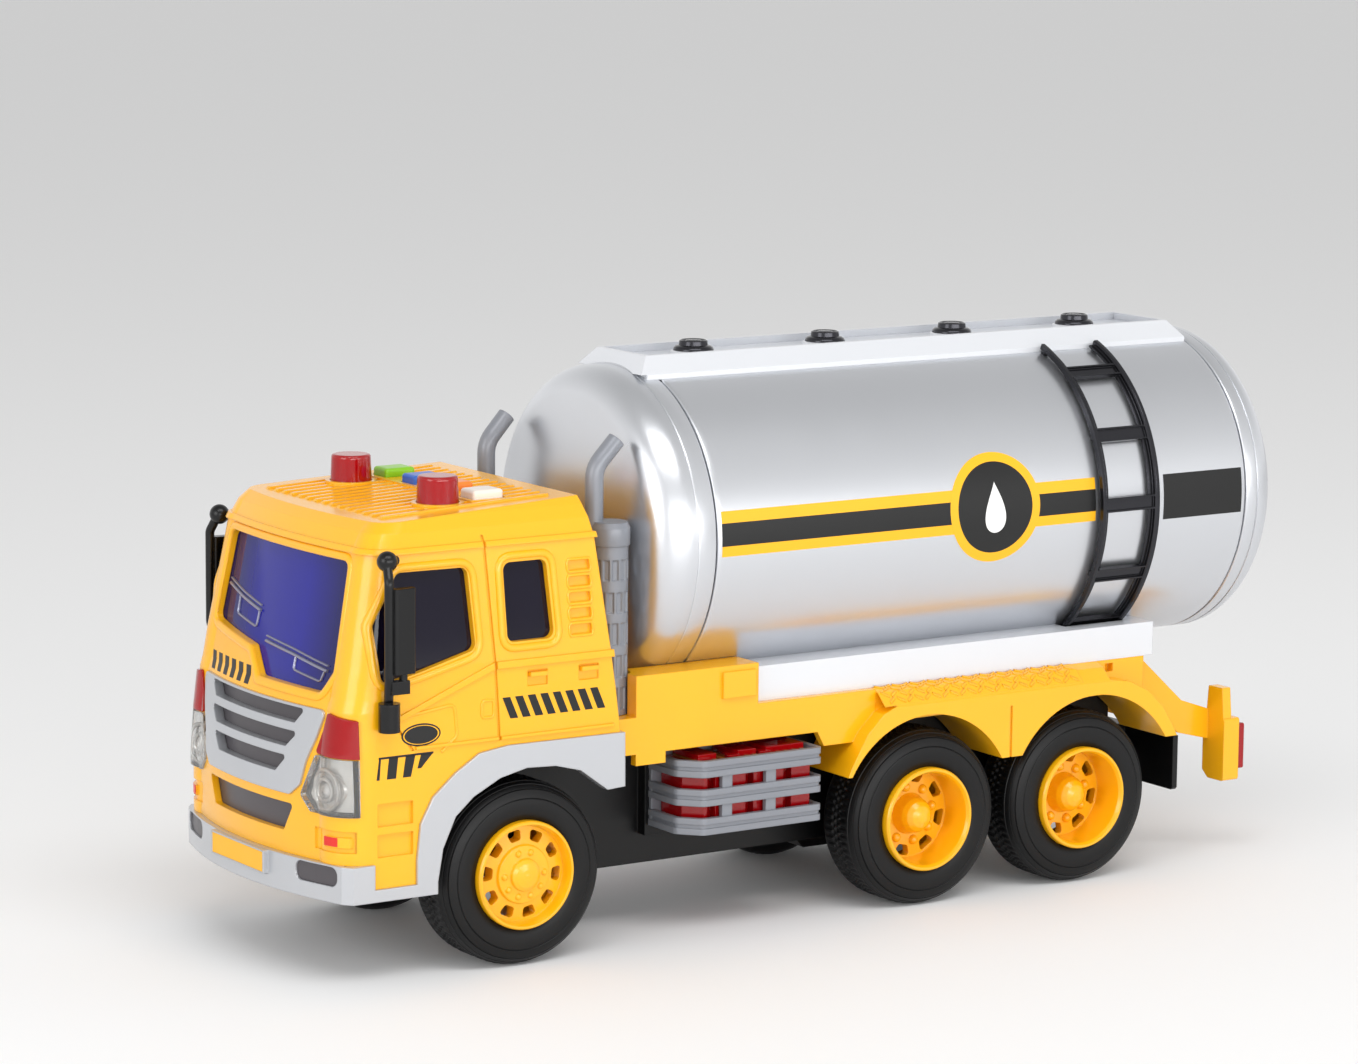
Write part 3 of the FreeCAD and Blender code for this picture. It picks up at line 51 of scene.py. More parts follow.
def linear(hex_colour):
    """A colour's sRGB hex value as linear red, green, blue and alpha."""
    digits = hex_colour.lstrip("#")
    c = np.array([int(digits[i:i + 2], 16) for i in (0, 2, 4)]) / 255.0
    c = np.where(c <= 0.04045, c / 12.92, ((c + 0.055) / 1.055) ** 2.4)
    return tuple(float(v) for v in c) + (1.0,)


def add_node(tree, kind, inputs=None, **settings):
    """Adds a node; an input given as a socket is linked, and any other is set."""
    made = tree.nodes.new(kind)
    for key, value in settings.items():
        setattr(made, key, value)
    for key, value in (inputs or {}).items():
        if isinstance(value, bpy.types.NodeSocket):
            tree.links.new(value, made.inputs[key])
        else:
            made.inputs[key].default_value = value
    return made


FLOW_SIZE = 0.014  # metres over which a moulding's colour drifts
PEEL_DEPTH = 0.0001  # metres of relief in the skin's peel at full strength
MIX_SHARE, MIX_A, MIX_B, MIX_OUT = 0, 6, 7, 2  # a colour mix node's sockets


def moulding(name, colour, roughness, mottle=0.05, peel_mm=0.35, peel=0.05, edge_mm=0.45,
             **sockets):
    """Moulded or painted plastic: colour drifts a little with the melt's flow, roughness drifts
    with it, the skin has a fine peel, and sharp edges catch light as if rounded."""
    material = bpy.data.materials.new(name)
    material.use_nodes = True
    tree = material.node_tree
    shader = tree.nodes["Principled BSDF"]
    place = add_node(tree, "ShaderNodeTexCoord").outputs["Object"]
    flow = add_node(tree, "ShaderNodeTexNoise", {
        "Vector": place, "Scale": 1 / FLOW_SIZE, "Detail": 3.0})
    base = linear(colour)
    deep = tuple(v * (1 - mottle) for v in base[:3]) + (1.0,)
    blend = add_node(tree, "ShaderNodeMix", {
        MIX_SHARE: flow.outputs["Fac"], MIX_A: base, MIX_B: deep}, data_type="RGBA")
    tree.links.new(blend.outputs[MIX_OUT], shader.inputs["Base Color"])
    drift = add_node(tree, "ShaderNodeMapRange", {
        "Value": flow.outputs["Fac"], "To Min": roughness * 0.85, "To Max": roughness * 1.15})
    tree.links.new(drift.outputs["Result"], shader.inputs["Roughness"])
    skin = add_node(tree, "ShaderNodeTexNoise", {
        "Vector": place, "Scale": 1000 / peel_mm, "Detail": 2.0})
    bump = add_node(tree, "ShaderNodeBump", {
        "Height": skin.outputs["Fac"], "Strength": peel, "Distance": PEEL_DEPTH})
    if edge_mm:
        edge = add_node(tree, "ShaderNodeBevel", {"Radius": edge_mm / 1000}, samples=4)
        tree.links.new(edge.outputs["Normal"], bump.inputs["Normal"])
    tree.links.new(bump.outputs["Normal"], shader.inputs["Normal"])
    for key, value in sockets.items():
        shader.inputs[key.replace("_", " ")].default_value = value
    return material


def finish_node(material, *names):
    """Gives carried-over nodes their finish through their material slots."""
    for name in names:
        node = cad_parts[name]
        if not node.material_slots:
            node.data.materials.append(material)
        node.material_slots[0].material = material


yellow_abs = moulding("gloss_yellow_abs", "#F7B20C", 0.24, mottle=0.05, IOR=1.53,
                      Coat_Weight=0.25, Coat_Roughness=0.08)
finish_node(yellow_abs, "cab_shell")

# Lengths of the pieces below are millimetres, with x from a datum behind the cab. The number
# plate's rim is the foremost edge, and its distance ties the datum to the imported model.
PLATE_RIM_X = 134.5
DATUM_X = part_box("front_bumper")[1].x * 1000 - PLATE_RIM_X
MERGE_M = 2e-6  # metres within which neighbouring corners count as one


def grid_shell(points, wrap_u=False, wrap_v=False):
    """Quads joining neighbouring rows and columns of a (rows, columns, 3) grid of points."""
    rows, cols = points.shape[:2]
    a, b = np.meshgrid(np.arange(rows if wrap_u else rows - 1),
                       np.arange(cols if wrap_v else cols - 1), indexing="ij")
    a2 = (a + 1) % rows
    b2 = (b + 1) % cols
    quads = np.stack([a * cols + b, a2 * cols + b, a2 * cols + b2, a * cols + b2], -1)
    return points.reshape(-1, 3), quads.reshape(-1, 4).tolist()


def capped_shell(points):
    """A grid closed round its columns, with a flat face over its first and its last row."""
    verts, faces = grid_shell(points, wrap_v=True)
    cols = points.shape[1]
    first = list(range(cols))
    last = [len(verts) - cols + i for i in first]
    return verts, faces + [first[::-1], last]


def mirror_shell(shell):
    """The same shell on the truck's other side."""
    return shell[0] * np.array([1, -1, 1]), [face[::-1] for face in shell[1]]


def both_sides(shells):
    """The left side's shells with their mirror images after them."""
    return shells + [mirror_shell(shell) for shell in shells]


def make_piece(name, shells, material, body="truck_body", sharp=38, replaces=()):
    """One object from several shells: doubles merged, faces turned outwards, and smooth but for
    edges that bend by more than sharp degrees."""
    verts = []
    faces = []
    count = 0
    for points, polygons in shells:
        verts.append(points)
        faces.extend([[i + count for i in polygon] for polygon in polygons])
        count += len(points)
    points = (np.concatenate(verts) + np.array([DATUM_X, 0, 0])) / 1000
    mesh = bpy.data.meshes.new(name)
    mesh.from_pydata(points.tolist(), [], faces)
    work = bmesh.new()
    work.from_mesh(mesh)
    bmesh.ops.remove_doubles(work, verts=work.verts, dist=MERGE_M)
    bmesh.ops.dissolve_degenerate(work, edges=work.edges, dist=1e-7)
    bmesh.ops.recalc_face_normals(work, faces=work.faces)
    work.to_mesh(mesh)
    work.free()
    mesh.polygons.foreach_set("use_smooth", np.ones(len(mesh.polygons), bool))
    mesh.set_sharp_from_angle(angle=math.radians(sharp))
    mesh.materials.append(material)
    piece = bpy.data.objects.new(name, mesh)
    bpy.context.scene.collection.objects.link(piece)
    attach(piece, body)
    if replaces:
        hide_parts(*replaces)


# Heights of the cab's levels, with the front's x on the centre line and at its corner,
# where the front ends and the side begins, and the half width.
LEVEL_Z = np.array([18.0, 46.0, 57.0, 67.0, 70.0, 76.5, 104.5, 109.0, 112.0, 115.0])
LEVEL_FRONT = np.array([132.3, 132.3, 131.2, 129.6, 127.8, 126.3, 120.9, 118.6, 115.4, 110.0])
LEVEL_CORNER = np.array([128.3, 128.3, 127.4, 126.1, 125.2, 124.0, 118.9, 116.6, 113.4, 108.0])
LEVEL_FACE_Y = np.array([30.5, 30.5, 30.5, 30.5, 30.2, 30.0, 29.6, 29.4, 29.0, 28.0])
LEVEL_SIDE_X = np.array([119.5, 119.5, 119.0, 118.0, 117.5, 116.5, 110.5, 108.5, 106.5, 104.0])
LEVEL_HALF = np.array([41.0, 41.0, 41.0, 41.0, 41.0, 40.9, 38.6, 37.0, 34.8, 32.0])
CORNER_BULGE = 0.74  # the corner's arc passes through this share of its reach both ways


def on_cab_side(x, z, lift):
    """Points on the cab's left side: flat back to the corner, then an arc through three points."""
    half = np.interp(z, LEVEL_Z, LEVEL_HALF)
    face_y = np.interp(z, LEVEL_Z, LEVEL_FACE_Y)
    side_x = np.interp(z, LEVEL_Z, LEVEL_SIDE_X)
    corner = np.interp(z, LEVEL_Z, LEVEL_CORNER)
    mx = side_x + CORNER_BULGE * (corner - side_x)
    my = face_y + CORNER_BULGE * (half - face_y)
    d = 2 * (side_x * (my - face_y) + mx * (face_y - half) + corner * (half - my))
    sa = side_x ** 2 + half ** 2
    sm = mx ** 2 + my ** 2
    sb = corner ** 2 + face_y ** 2
    cx = (sa * (my - face_y) + sm * (face_y - half) + sb * (half - my)) / d
    cy = (sa * (corner - mx) + sm * (side_x - corner) + sb * (mx - side_x)) / d
    radius = np.hypot(side_x - cx, half - cy)
    bent = cy + np.sqrt(np.maximum(radius ** 2 - (x - cx) ** 2, 0.01))
    round_x = np.where(x > side_x, (x - cx) / radius, 0.0)
    y = np.where(x > side_x, bent, half)
    return np.stack([x + lift * round_x, y + lift * np.sqrt(1 - round_x ** 2), z + 0 * x], -1)


def on_cab_front(y, z, lift):
    """Points on the cab's bowed front, an arc through its centre line and both corners."""
    front = np.interp(z, LEVEL_Z, LEVEL_FRONT)
    bow = front - np.interp(z, LEVEL_Z, LEVEL_CORNER)
    face_y = np.interp(z, LEVEL_Z, LEVEL_FACE_Y)
    radius = (face_y ** 2 + bow ** 2) / (2 * bow)
    x = front - radius + np.sqrt(radius ** 2 - y ** 2)
    return np.stack([x + lift, y + 0 * x, z + 0 * x], -1)


def rounded_outline(corners, radius, step=0.8, closed=True):
    """A line through corners, each rounded by an arc of about radius, sampled every step."""
    corners = np.array(corners, float)
    count = len(corners)
    line = []
    for i in range(count):
        here = corners[i]
        if not closed and i in (0, count - 1):
            line.append(here[None])
            continue
        back = corners[i - 1] - here
        ahead = corners[(i + 1) % count] - here
        reach = 0.45 * min(np.linalg.norm(back), np.linalg.norm(ahead))
        back = back / np.linalg.norm(back)
        ahead = ahead / np.linalg.norm(ahead)
        half_angle = math.acos(np.clip(back @ ahead, -1, 1)) / 2
        run = min(radius / math.tan(half_angle), reach)
        t = np.linspace(0, 1, 7)[:, None]
        start = here + back * run
        end = here + ahead * run
        line.append((1 - t) ** 2 * start + 2 * t * (1 - t) * here + t ** 2 * end)
    line = np.concatenate(line)
    if closed:
        line = np.concatenate([line, line[:1]])
    lengths = np.concatenate([[0], np.cumsum(np.linalg.norm(np.diff(line, axis=0), axis=1))])
    samples = np.linspace(0, lengths[-1], max(8, int(lengths[-1] / step)))
    line = np.stack([np.interp(samples, lengths, line[:, k]) for k in range(line.shape[1])], -1)
    return line[:-1] if closed else line


RIDGE_FOOT = 0.3


def ridge_shell(surface, outline, width, height, closed=True):
    """A half-round moulded ridge along an outline on a surface: each section is a flattened
    semicircle standing height proud, with its foot sunk into the wall."""
    if closed:
        tangent = np.roll(outline, -1, 0) - np.roll(outline, 1, 0)
    else:
        tangent = np.gradient(outline, axis=0)
    tangent = tangent / np.linalg.norm(tangent, axis=1, keepdims=True)
    across = np.stack([-tangent[:, 1], tangent[:, 0]], -1)
    turn = np.linspace(0, math.pi, 7)
    offset = np.concatenate([0.5 * width * np.cos(turn), [-0.4 * width, 0.4 * width]])
    lift = np.concatenate([height * np.sin(turn), [-RIDGE_FOOT, -RIDGE_FOOT]])
    place = outline[:, None, :] + across[:, None, :] * offset[None, :, None]
    points = surface(place[..., 0], place[..., 1], np.broadcast_to(lift, place.shape[:2]))
    if closed:
        return grid_shell(points, wrap_u=True, wrap_v=True)
    return capped_shell(points)


DOOR_WINDOW = [(112.8, 101.2), (119.6, 87.7), (118.6, 72.0), (106.8, 74.4), (89.6, 78.6),
               (91.2, 101.2)]
REAR_WINDOW = [(68.8, 101.6), (67.2, 79.2), (83.4, 79.2), (84.0, 101.6)]
side_ridges = []
for corners, radius in ((DOOR_WINDOW, 4.5), (REAR_WINDOW, 3.6)):
    side_ridges.append(ridge_shell(on_cab_side, rounded_outline(corners, radius), 1.9, 0.75))
door_panel = rounded_outline([(112.0, 65.3), (97.2, 67.2), (96.4, 59.4), (100.8, 55.9)], 1.6,
                             closed=False)
side_ridges.append(ridge_shell(on_cab_side, door_panel, 0.9, 0.3, False))
hinge_plate = [(89.6, 67.2), (86.2, 67.2), (86.2, 63.0), (89.6, 63.0)]
side_ridges.append(ridge_shell(on_cab_side, rounded_outline(hinge_plate, 0.8), 0.8, 0.35))
VENT_PITCH = 3.9
for i in range(5):
    z = 80.6 + VENT_PITCH * i
    vent = [(57.6, z), (64.4, z), (64.6, z + 3.1), (57.9, z + 3.1)]
    side_ridges.append(ridge_shell(on_cab_side, rounded_outline(vent, 0.6), 0.7, 0.3))
make_piece("cab_side_ridges", both_sides(side_ridges), yellow_abs)

WINDSCREEN = [(30.4, 103.0), (-30.4, 103.0), (-32.0, 78.6), (-7.4, 75.8), (-1.2, 69.4),
              (27.0, 69.4), (31.4, 75.4)]
OVERRUN = 1.5


def on_wide_front(y, z, lift):
    """The bowed front carried a little past its corners, for the ridge round the windscreen."""
    face_y = np.interp(z, LEVEL_Z, LEVEL_FACE_Y)
    held = on_cab_front(np.clip(y, -face_y - OVERRUN, face_y + OVERRUN), z, lift)
    return held * np.array([1, 0, 1]) + np.stack([0 * y, y, 0 * y], -1)


windscreen_line = rounded_outline(WINDSCREEN, 3.0)
make_piece("windscreen_ridge", [ridge_shell(on_wide_front, windscreen_line, 2.0, 0.6)], yellow_abs)

# ---------------------------------------------------------------- cab glazing
# Windscreen and side windows are one inner moulding of clear styrene, tinted deep blue.
# It is polished on both faces, so it shows the dark cab behind it and sharp highlights.

blue_glazing = moulding("tinted_blue_styrene", "#1414A0", 0.06, mottle=0.1, peel=0.02, edge_mm=0,
                        IOR=1.5, Transmission_Weight=0.3, Specular_IOR_Level=0.35)
# The glass is blue across the windscreen and darkened to near black violet in the side panes as
# painted shade, so a mix by distance from the middle, in metres, takes the place of the moulding's
# own colour.
BLUE_TO, BLACK_FROM = 0.012, 0.034
tree = blue_glazing.node_tree
base_socket = tree.nodes["Principled BSDF"].inputs["Base Color"]
tree.nodes.remove(base_socket.links[0].from_node)
glass_place = add_node(tree, "ShaderNodeTexCoord").outputs["Object"]
across = add_node(tree, "ShaderNodeSeparateXYZ", {"Vector": glass_place})
out = add_node(tree, "ShaderNodeMath", {0: across.outputs["Y"]}, operation="ABSOLUTE")
# Share of painted shade, rising from the windscreen out to the side panes.
side_shade = add_node(tree, "ShaderNodeMapRange", {
    "Value": out.outputs["Value"], "From Min": BLUE_TO, "From Max": BLACK_FROM})
tint_and_shade = add_node(tree, "ShaderNodeMix", {
    MIX_SHARE: side_shade.outputs["Result"], MIX_A: linear("#10109A"), MIX_B: linear("#140F24")},
    data_type="RGBA")
tree.links.new(tint_and_shade.outputs[MIX_OUT], base_socket)
finish_node(blue_glazing, "cab_glazing")

# Moulded wiper arms lie on the windscreen's face, blades on top, in the same clear styrene; they are
# coloured pale grey and metallic as a painted highlight, for the light that their polished edges
# catch.
wiper_highlight = moulding("wipers_painted_highlight", "#9A9BB0", 0.15, mottle=0.1, peel=0.02, edge_mm=0,
                      Metallic=0.6)
GLASS_INSET = 1.9  # the pane's outer face stands this far behind the cab's front
WIPER_BLADES = ([(-29.0, 88.6), (-19.8, 86.6), (-8.5, 84.8)],
                [(-3.3, 78.3), (10.0, 77.2), (25.5, 75.2)])
WIPER_BRACKETS = ([(-21.5, 86.6), (-21.5, 82.2), (-9.6, 80.6), (-9.2, 84.6)],
                  [(11.7, 76.6), (11.7, 73.6), (23.4, 72.4), (24.4, 75.0)])
ARM_ABOVE = 1.2


def on_glass(y, z, lift):
    """Points on the windscreen pane's outer face."""
    return on_cab_front(y, z, lift - GLASS_INSET)


wipers = []
for blade, bracket in zip(WIPER_BLADES, WIPER_BRACKETS):
    arm = np.array(blade) + np.array([0.0, ARM_ABOVE])
    for line, radius, step, width, height in ((blade, 3.0, 0.6, 0.75, 0.75),
                                              (arm, 3.0, 0.6, 0.45, 0.55),
                                              (bracket, 0.9, 0.5, 0.5, 0.55)):
        wipers.append(ridge_shell(on_glass, rounded_outline(line, radius, step, False),
                                  width, height, False))
make_piece("windscreen_wipers", wipers, wiper_highlight)

# ---------------------------------------------------------------- cab stickers
# Thin printed vinyl stickers are laid on the cab by hand: hazard bars on both sides and the
# nose, and a plain black oval with a thin yellow line. All lettering is left off.


def vinyl(name, colour):
    """Printed vinyl film: solid colour with a soft satin skin and a very fine emboss."""
    return moulding(name, colour, 0.38, mottle=0.04, peel_mm=0.2, peel=0.03, edge_mm=0, IOR=1.5)


black_vinyl = vinyl("black_printed_vinyl", "#050505")
yellow_vinyl = vinyl("yellow_printed_vinyl", "#F7B40E")
white_vinyl = vinyl("white_printed_vinyl", "#F2F2F0")


STICKER_LIFT = 0.06  # a film's top above the wall
STICKER_SINK = -0.02  # its back, just inside the wall so that no gap shows


def patch_shell(surface, corners, cells=(8, 4), lift=STICKER_LIFT):
    """A four-cornered sticker: bilinear between its corners, closed over top, edges and back."""
    corners = np.array(corners, float)
    s, t = np.meshgrid(np.linspace(0, 1, cells[0] + 1), np.linspace(0, 1, cells[1] + 1),
                       indexing="ij")
    s = s[..., None]
    t = t[..., None]
    flat = ((1 - s) * (1 - t) * corners[0] + s * (1 - t) * corners[1] + s * t * corners[2]
            + (1 - s) * t * corners[3])
    top = surface(flat[..., 0], flat[..., 1], np.full(flat.shape[:2], lift))
    back = surface(flat[..., 0], flat[..., 1], np.full(flat.shape[:2], STICKER_SINK))
    rims = []
    for grid in (top, back):
        rims.append(np.concatenate([grid[0], grid[1:, -1], grid[-1, -2::-1], grid[-2:0:-1, 0]]))
    verts_a, faces_a = grid_shell(top)
    verts_b, faces_b = grid_shell(back)
    verts_c, faces_c = grid_shell(np.stack(rims), wrap_v=True)
    faces_b = [[i + len(verts_a) for i in f[::-1]] for f in faces_b]
    faces_c = [[i + len(verts_a) + len(verts_b) for i in f] for f in faces_c]
    return np.concatenate([verts_a, verts_b, verts_c]), faces_a + faces_b + faces_c


def disc_shell(surface, centre, size, hole=0.0, lift=STICKER_LIFT, turns=64, rings=12):
    """A round or oval sticker about a centre; a ring if hole, a share of its size, is above 0."""
    share = np.linspace(hole, 1.0, rings)
    share = np.concatenate([share, share[::-1]])
    height = np.repeat([lift, STICKER_SINK], rings)
    angle = np.linspace(0, 2 * math.pi, turns, endpoint=False)
    u = centre[0] + size[0] * share[:, None] * np.cos(angle)
    v = centre[1] + size[1] * share[:, None] * np.sin(angle)
    points = surface(u, v, np.broadcast_to(height[:, None], u.shape))
    return grid_shell(points, wrap_u=hole > 0, wrap_v=True)


# Slanted bars run along the belt. Four more stand under the oval, given by the x of their top
# front, top back, foot back and foot front; behind FOOT_STEP_X the foot ends higher.
BELT_PITCH, NOSE_PITCH = 3.56, 4.35
LOWER_BARS = ((117.9, 117.4, 117.8, 118.6), (115.2, 112.7, 113.3, 115.8),
              (110.6, 108.0, 109.2, 111.4), (106.4, 103.2, 106.4, 107.4))
FOOT_STEP_X = 107
OVAL = (106.4, 60.7)
bars = []
for i in range(8):
    x = 82.6 - BELT_PITCH * i
    slant = [(x + 1.15, 67.4), (x - 1.0, 67.4), (x - 3.3, 62.1), (x - 1.1, 62.1)]
    bars.append(patch_shell(on_cab_side, slant, (2, 2)))
for x0, x1, x2, x3 in LOWER_BARS:
    low = 50.8 if x0 > FOOT_STEP_X else 52.6
    bars.append(patch_shell(on_cab_side, [(x0, 55.9), (x1, 55.9), (x2, low), (x3, low)], (2, 2)))
long_bar = [(118.0, 56.3), (103.0, 56.3), (103.0, 55.8), (118.0, 55.8)]
bars.append(patch_shell(on_cab_side, long_bar, (8, 1)))
bars.append(disc_shell(on_cab_side, OVAL, (5.4, 2.75)))
bars = both_sides(bars)
for i in range(6):
    y = -28.6 + NOSE_PITCH * i
    slant = [(y - 1.2, 72.0), (y + 1.2, 72.0), (y + 2.9, 67.8), (y + 0.6, 67.8)]
    bars.append(patch_shell(on_cab_front, slant, (2, 2)))
make_piece("cab_stickers_black", bars, black_vinyl)
oval_lines = [disc_shell(on_cab_side, OVAL, (4.95, 2.35), 0.93, lift=0.09)]
make_piece("cab_stickers_yellow", both_sides(oval_lines), yellow_vinyl)

# ---------------------------------------------------------------- front lamps, grille and bumper
# Grille surround, bumper and arch trims are ABS with silver paint; the grille behind is dark grey.
# Each headlamp has a red and a clear styrene lens over a bright reflector with two rings.

silver_trim = moulding("silver_painted_trim", "#C2C4C8", 0.3, mottle=0.05, peel_mm=0.25,
                       peel=0.06, Metallic=0.6, Coat_Weight=0.3, Coat_Roughness=0.12)
grille_grey = moulding("dark_grey_abs", "#4A464A", 0.36, mottle=0.06)
red_lens = moulding("clear_red_styrene", "#B4060E", 0.07, mottle=0.06, peel=0.02, edge_mm=0.3,
                    IOR=1.55, Transmission_Weight=0.3, Specular_IOR_Level=0.5)
clear_lens = moulding("clear_styrene", "#F4F4F2", 0.04, mottle=0.01, peel=0.02, edge_mm=0.3,
                      IOR=1.5, Transmission_Weight=0.92)
bright_plate = moulding("vacuum_plated_reflector", "#E6E4E2", 0.16, mottle=0.03, peel=0.03,
                        edge_mm=0.2, Metallic=0.5)
finish_node(silver_trim, "grille_surround", "front_bumper")
finish_node(grille_grey, "grille_backing", "fog_lamp_inserts")
finish_node(red_lens, "headlamp_red_left", "headlamp_red_right", "tail_lamps")
finish_node(clear_lens, "headlamp_lens_left", "headlamp_lens_right")
finish_node(bright_plate, "headlamp_reflectors")


def around(points, wrap_u=False):
    """A grid whose columns close round a circle."""
    return grid_shell(points, wrap_u=wrap_u, wrap_v=True)


def lathe_shell(profile, centre, axis, turns=96, wrap=False):
    """A profile of (radius, along) pairs turned about an axis through centre; a radius of 0 is
    a pole."""
    profile = np.array(profile, float)
    angle = np.linspace(0, 2 * math.pi, turns, endpoint=False)
    r = profile[:, 0][:, None]
    a = r * np.cos(angle)
    b = r * np.sin(angle)
    s = np.broadcast_to(profile[:, 1][:, None], a.shape)
    order = {"x": (s, a, b), "y": (a, s, b), "z": (a, b, s)}[axis]
    return around(np.stack(order, -1) + np.array(centre, float), wrap_u=wrap)


# Two wire rings and a bulb's dome stand on each reflector, behind the lenses.
HEADLAMP = (0, 31.8, 47.8)
RING_X = 126.35
DOME = [(0.0, 126.6), (1.0, 126.5), (1.7, 126.1), (1.8, 125.7), (0.0, 125.6)]
ring_bits = []
for ring_r, wire in ((4.9, 0.55), (2.6, 0.5)):
    section = [(ring_r + wire * math.cos(t), RING_X + wire * math.sin(t))
               for t in np.linspace(0, 2 * math.pi, 9)[:-1]]
    ring_bits.append(lathe_shell(section, HEADLAMP, "x", 48, wrap=True))
ring_bits.append(lathe_shell(DOME, HEADLAMP, "x", 32))
make_piece("headlamp_rings", both_sides(ring_bits), bright_plate)

# Turn indicators are printed red in the nose's shallow recesses; the number plate's face is a
# plain printed sticker inside its raised rim.
red_paint = moulding("red_pad_print", "#D8281C", 0.3, mottle=0.05, edge_mm=0)
POCKET_Y = [32.0, 33.0, 34.0, 35.0, 36.0, 37.0, 37.8]
POCKET_X = [128.66, 128.5, 128.27, 127.99, 127.58, 127.02, 126.43]
PLATE_FACE_X = 134.2


def on_nose_pocket(y, z, lift):
    """Points on the floor of the nose's left recess."""
    x = np.interp(y, POCKET_Y, POCKET_X)
    return np.stack([x + lift + 0 * z, y + 0 * z, z + 0 * y], -1)


def on_plate(y, z, lift):
    """Points on the number plate's face, inside the rim."""
    return np.stack([PLATE_FACE_X + lift + 0 * y, y + 0 * z, z + 0 * y], -1)


lamp_corners = [(33.2, 34.9), (37.0, 34.9), (37.0, 37.1), (33.2, 37.1)]
indicator = [patch_shell(on_nose_pocket, lamp_corners, (6, 1), 0.12)]
make_piece("turn_indicators", both_sides(indicator), red_paint)
plate_corners = [(-13.1, 24.9), (13.1, 24.9), (13.1, 29.9), (-13.1, 29.9)]
make_piece("number_plate_face", [patch_shell(on_plate, plate_corners, (2, 2), 0.1)], yellow_vinyl)

# ---------------------------------------------------------------- roof keys, beacons and electronics
# Four keys of coloured ABS press the switches under the roof; both beacons are clear red styrene
# caps with flutes inside that scatter the lamp's light. Board and loudspeaker are closed in.

finish_node(moulding("gloss_green_abs", "#86C61C", 0.3), "button_green")
finish_node(moulding("gloss_blue_abs", "#2E62BE", 0.3), "button_blue")
finish_node(moulding("gloss_amber_abs", "#F0862C", 0.3), "button_amber")
finish_node(moulding("milky_white_abs", "#F1E7DC", 0.3), "button_clear")
finish_node(moulding("green_solder_mask", "#1E6B3A", 0.4), "circuit_board")
finish_node(moulding("nickel_plated_steel", "#B4B4B6", 0.25, mottle=0.05, Metallic=1.0),
            "button_cells")
finish_node(moulding("black_paper_cone", "#1A1A1B", 0.6), "speaker")

# The cap's outside is (radius, z) from its crown to the foot; the inside carries the flutes,
# which fade out at the foot and the crown.
BEACON_X, BEACON_Y = 90.4, 21.4
FLUTES, FLUTE_DEPTH = 24, 0.22
BEACON_TURNS = 96
outside = rounded_outline([(0.0, 119.7), (4.9, 119.7), (5.3, 110.0), (6.4, 110.0), (6.4, 109.0),
                           (4.2, 109.0)], 0.7, 0.35, closed=False)
inner_z = np.array([109.0, 110.5, 113.0, 117.4, 118.3, 118.3])
inner_r = np.array([4.2, 4.2, 4.1, 4.0, 3.2, 0.0])
flute_share = np.array([0.0, 1.0, 1.0, 1.0, 0.4, 0.0])
angle = np.linspace(0, 2 * math.pi, BEACON_TURNS, endpoint=False)
r = inner_r[:, None] + flute_share[:, None] * (FLUTE_DEPTH * np.cos(FLUTES * angle))
inner = np.stack([r * np.cos(angle), r * np.sin(angle),
                  np.broadcast_to(inner_z[:, None], r.shape)], -1)
outer = np.stack([outside[:, :1] * np.cos(angle), outside[:, :1] * np.sin(angle),
                  np.broadcast_to(outside[:, 1:], (len(outside), BEACON_TURNS))], -1)
for name, side in (("left", 1), ("right", -1)):
    centre = np.array([BEACON_X, side * BEACON_Y, 0.0])
    make_piece("beacon_cap_" + name, [around(np.concatenate([outer, inner]) + centre)], red_lens,
               replaces=("beacon_" + name,))

# ---------------------------------------------------------------- mirrors
# Each mirror is one black ABS moulding: a ball in the cab's corner, a bent stalk, the housing
# behind it and a foot that hooks on the door.

black_abs = moulding("gloss_black_abs", "#060607", 0.26, mottle=0.15, peel_mm=0.3, peel=0.06,
                     IOR=1.53, Specular_IOR_Level=0.35)
finish_node(black_abs, "mirror_left", "mirror_right")

# ---------------------------------------------------------------- exhaust stacks
# The stacks are grey ABS: a ribbed heat shield with pressed slots round the silencer, and the
# bent tail pipe above it.

grey_abs = moulding("silver_grey_abs", "#868990", 0.34, mottle=0.06, Metallic=0.2)
BORE_DEPTH = 3.0


def tube_shell(path, radius, hollow, turns=28):
    """A round bar along a path, with circles standing square to it and a blind bore of radius
    hollow at its far end."""
    path = np.array(path, float)
    tangent = np.gradient(path, axis=0)
    tangent = tangent / np.linalg.norm(tangent, axis=1, keepdims=True)
    side = np.cross(tangent, np.array([0.13, 1.0, 0.21]))
    side = side / np.linalg.norm(side, axis=1, keepdims=True)
    up = np.cross(side, tangent)
    angle = np.linspace(0, 2 * math.pi, turns, endpoint=False)
    bore = path[-1] - tangent[-1] * BORE_DEPTH
    radii = np.concatenate([np.full(len(path), float(radius)), [hollow, hollow]])
    path = np.concatenate([path, path[-1:], bore[None]])
    side = np.concatenate([side, side[-1:], side[-1:]])
    up = np.concatenate([up, up[-1:], up[-1:]])
    ring = side[:, None] * np.cos(angle)[:, None] + up[:, None] * np.sin(angle)[:, None]
    return capped_shell(path[:, None] + ring * radii[:, None, None])


SHIELD_R, SLOT_DEPTH = 4.5, 0.45
SLOT_FIRST_Z, SLOT_PITCH, SLOTS_ROUND = 58.0, 8.0, 12
RIM_Z = [100.0, 100.0, 100.3, 104.3, 104.6, 105.2, 105.8, 105.8]
RIM_R = [4.5, 4.85, 4.95, 4.95, 4.85, 4.5, 4.3, 0.0]
PIPE_PATH = [(48.4, 25.9, 92.0), (48.4, 25.9, 119.0), (42.2, 26.2, 125.6)]


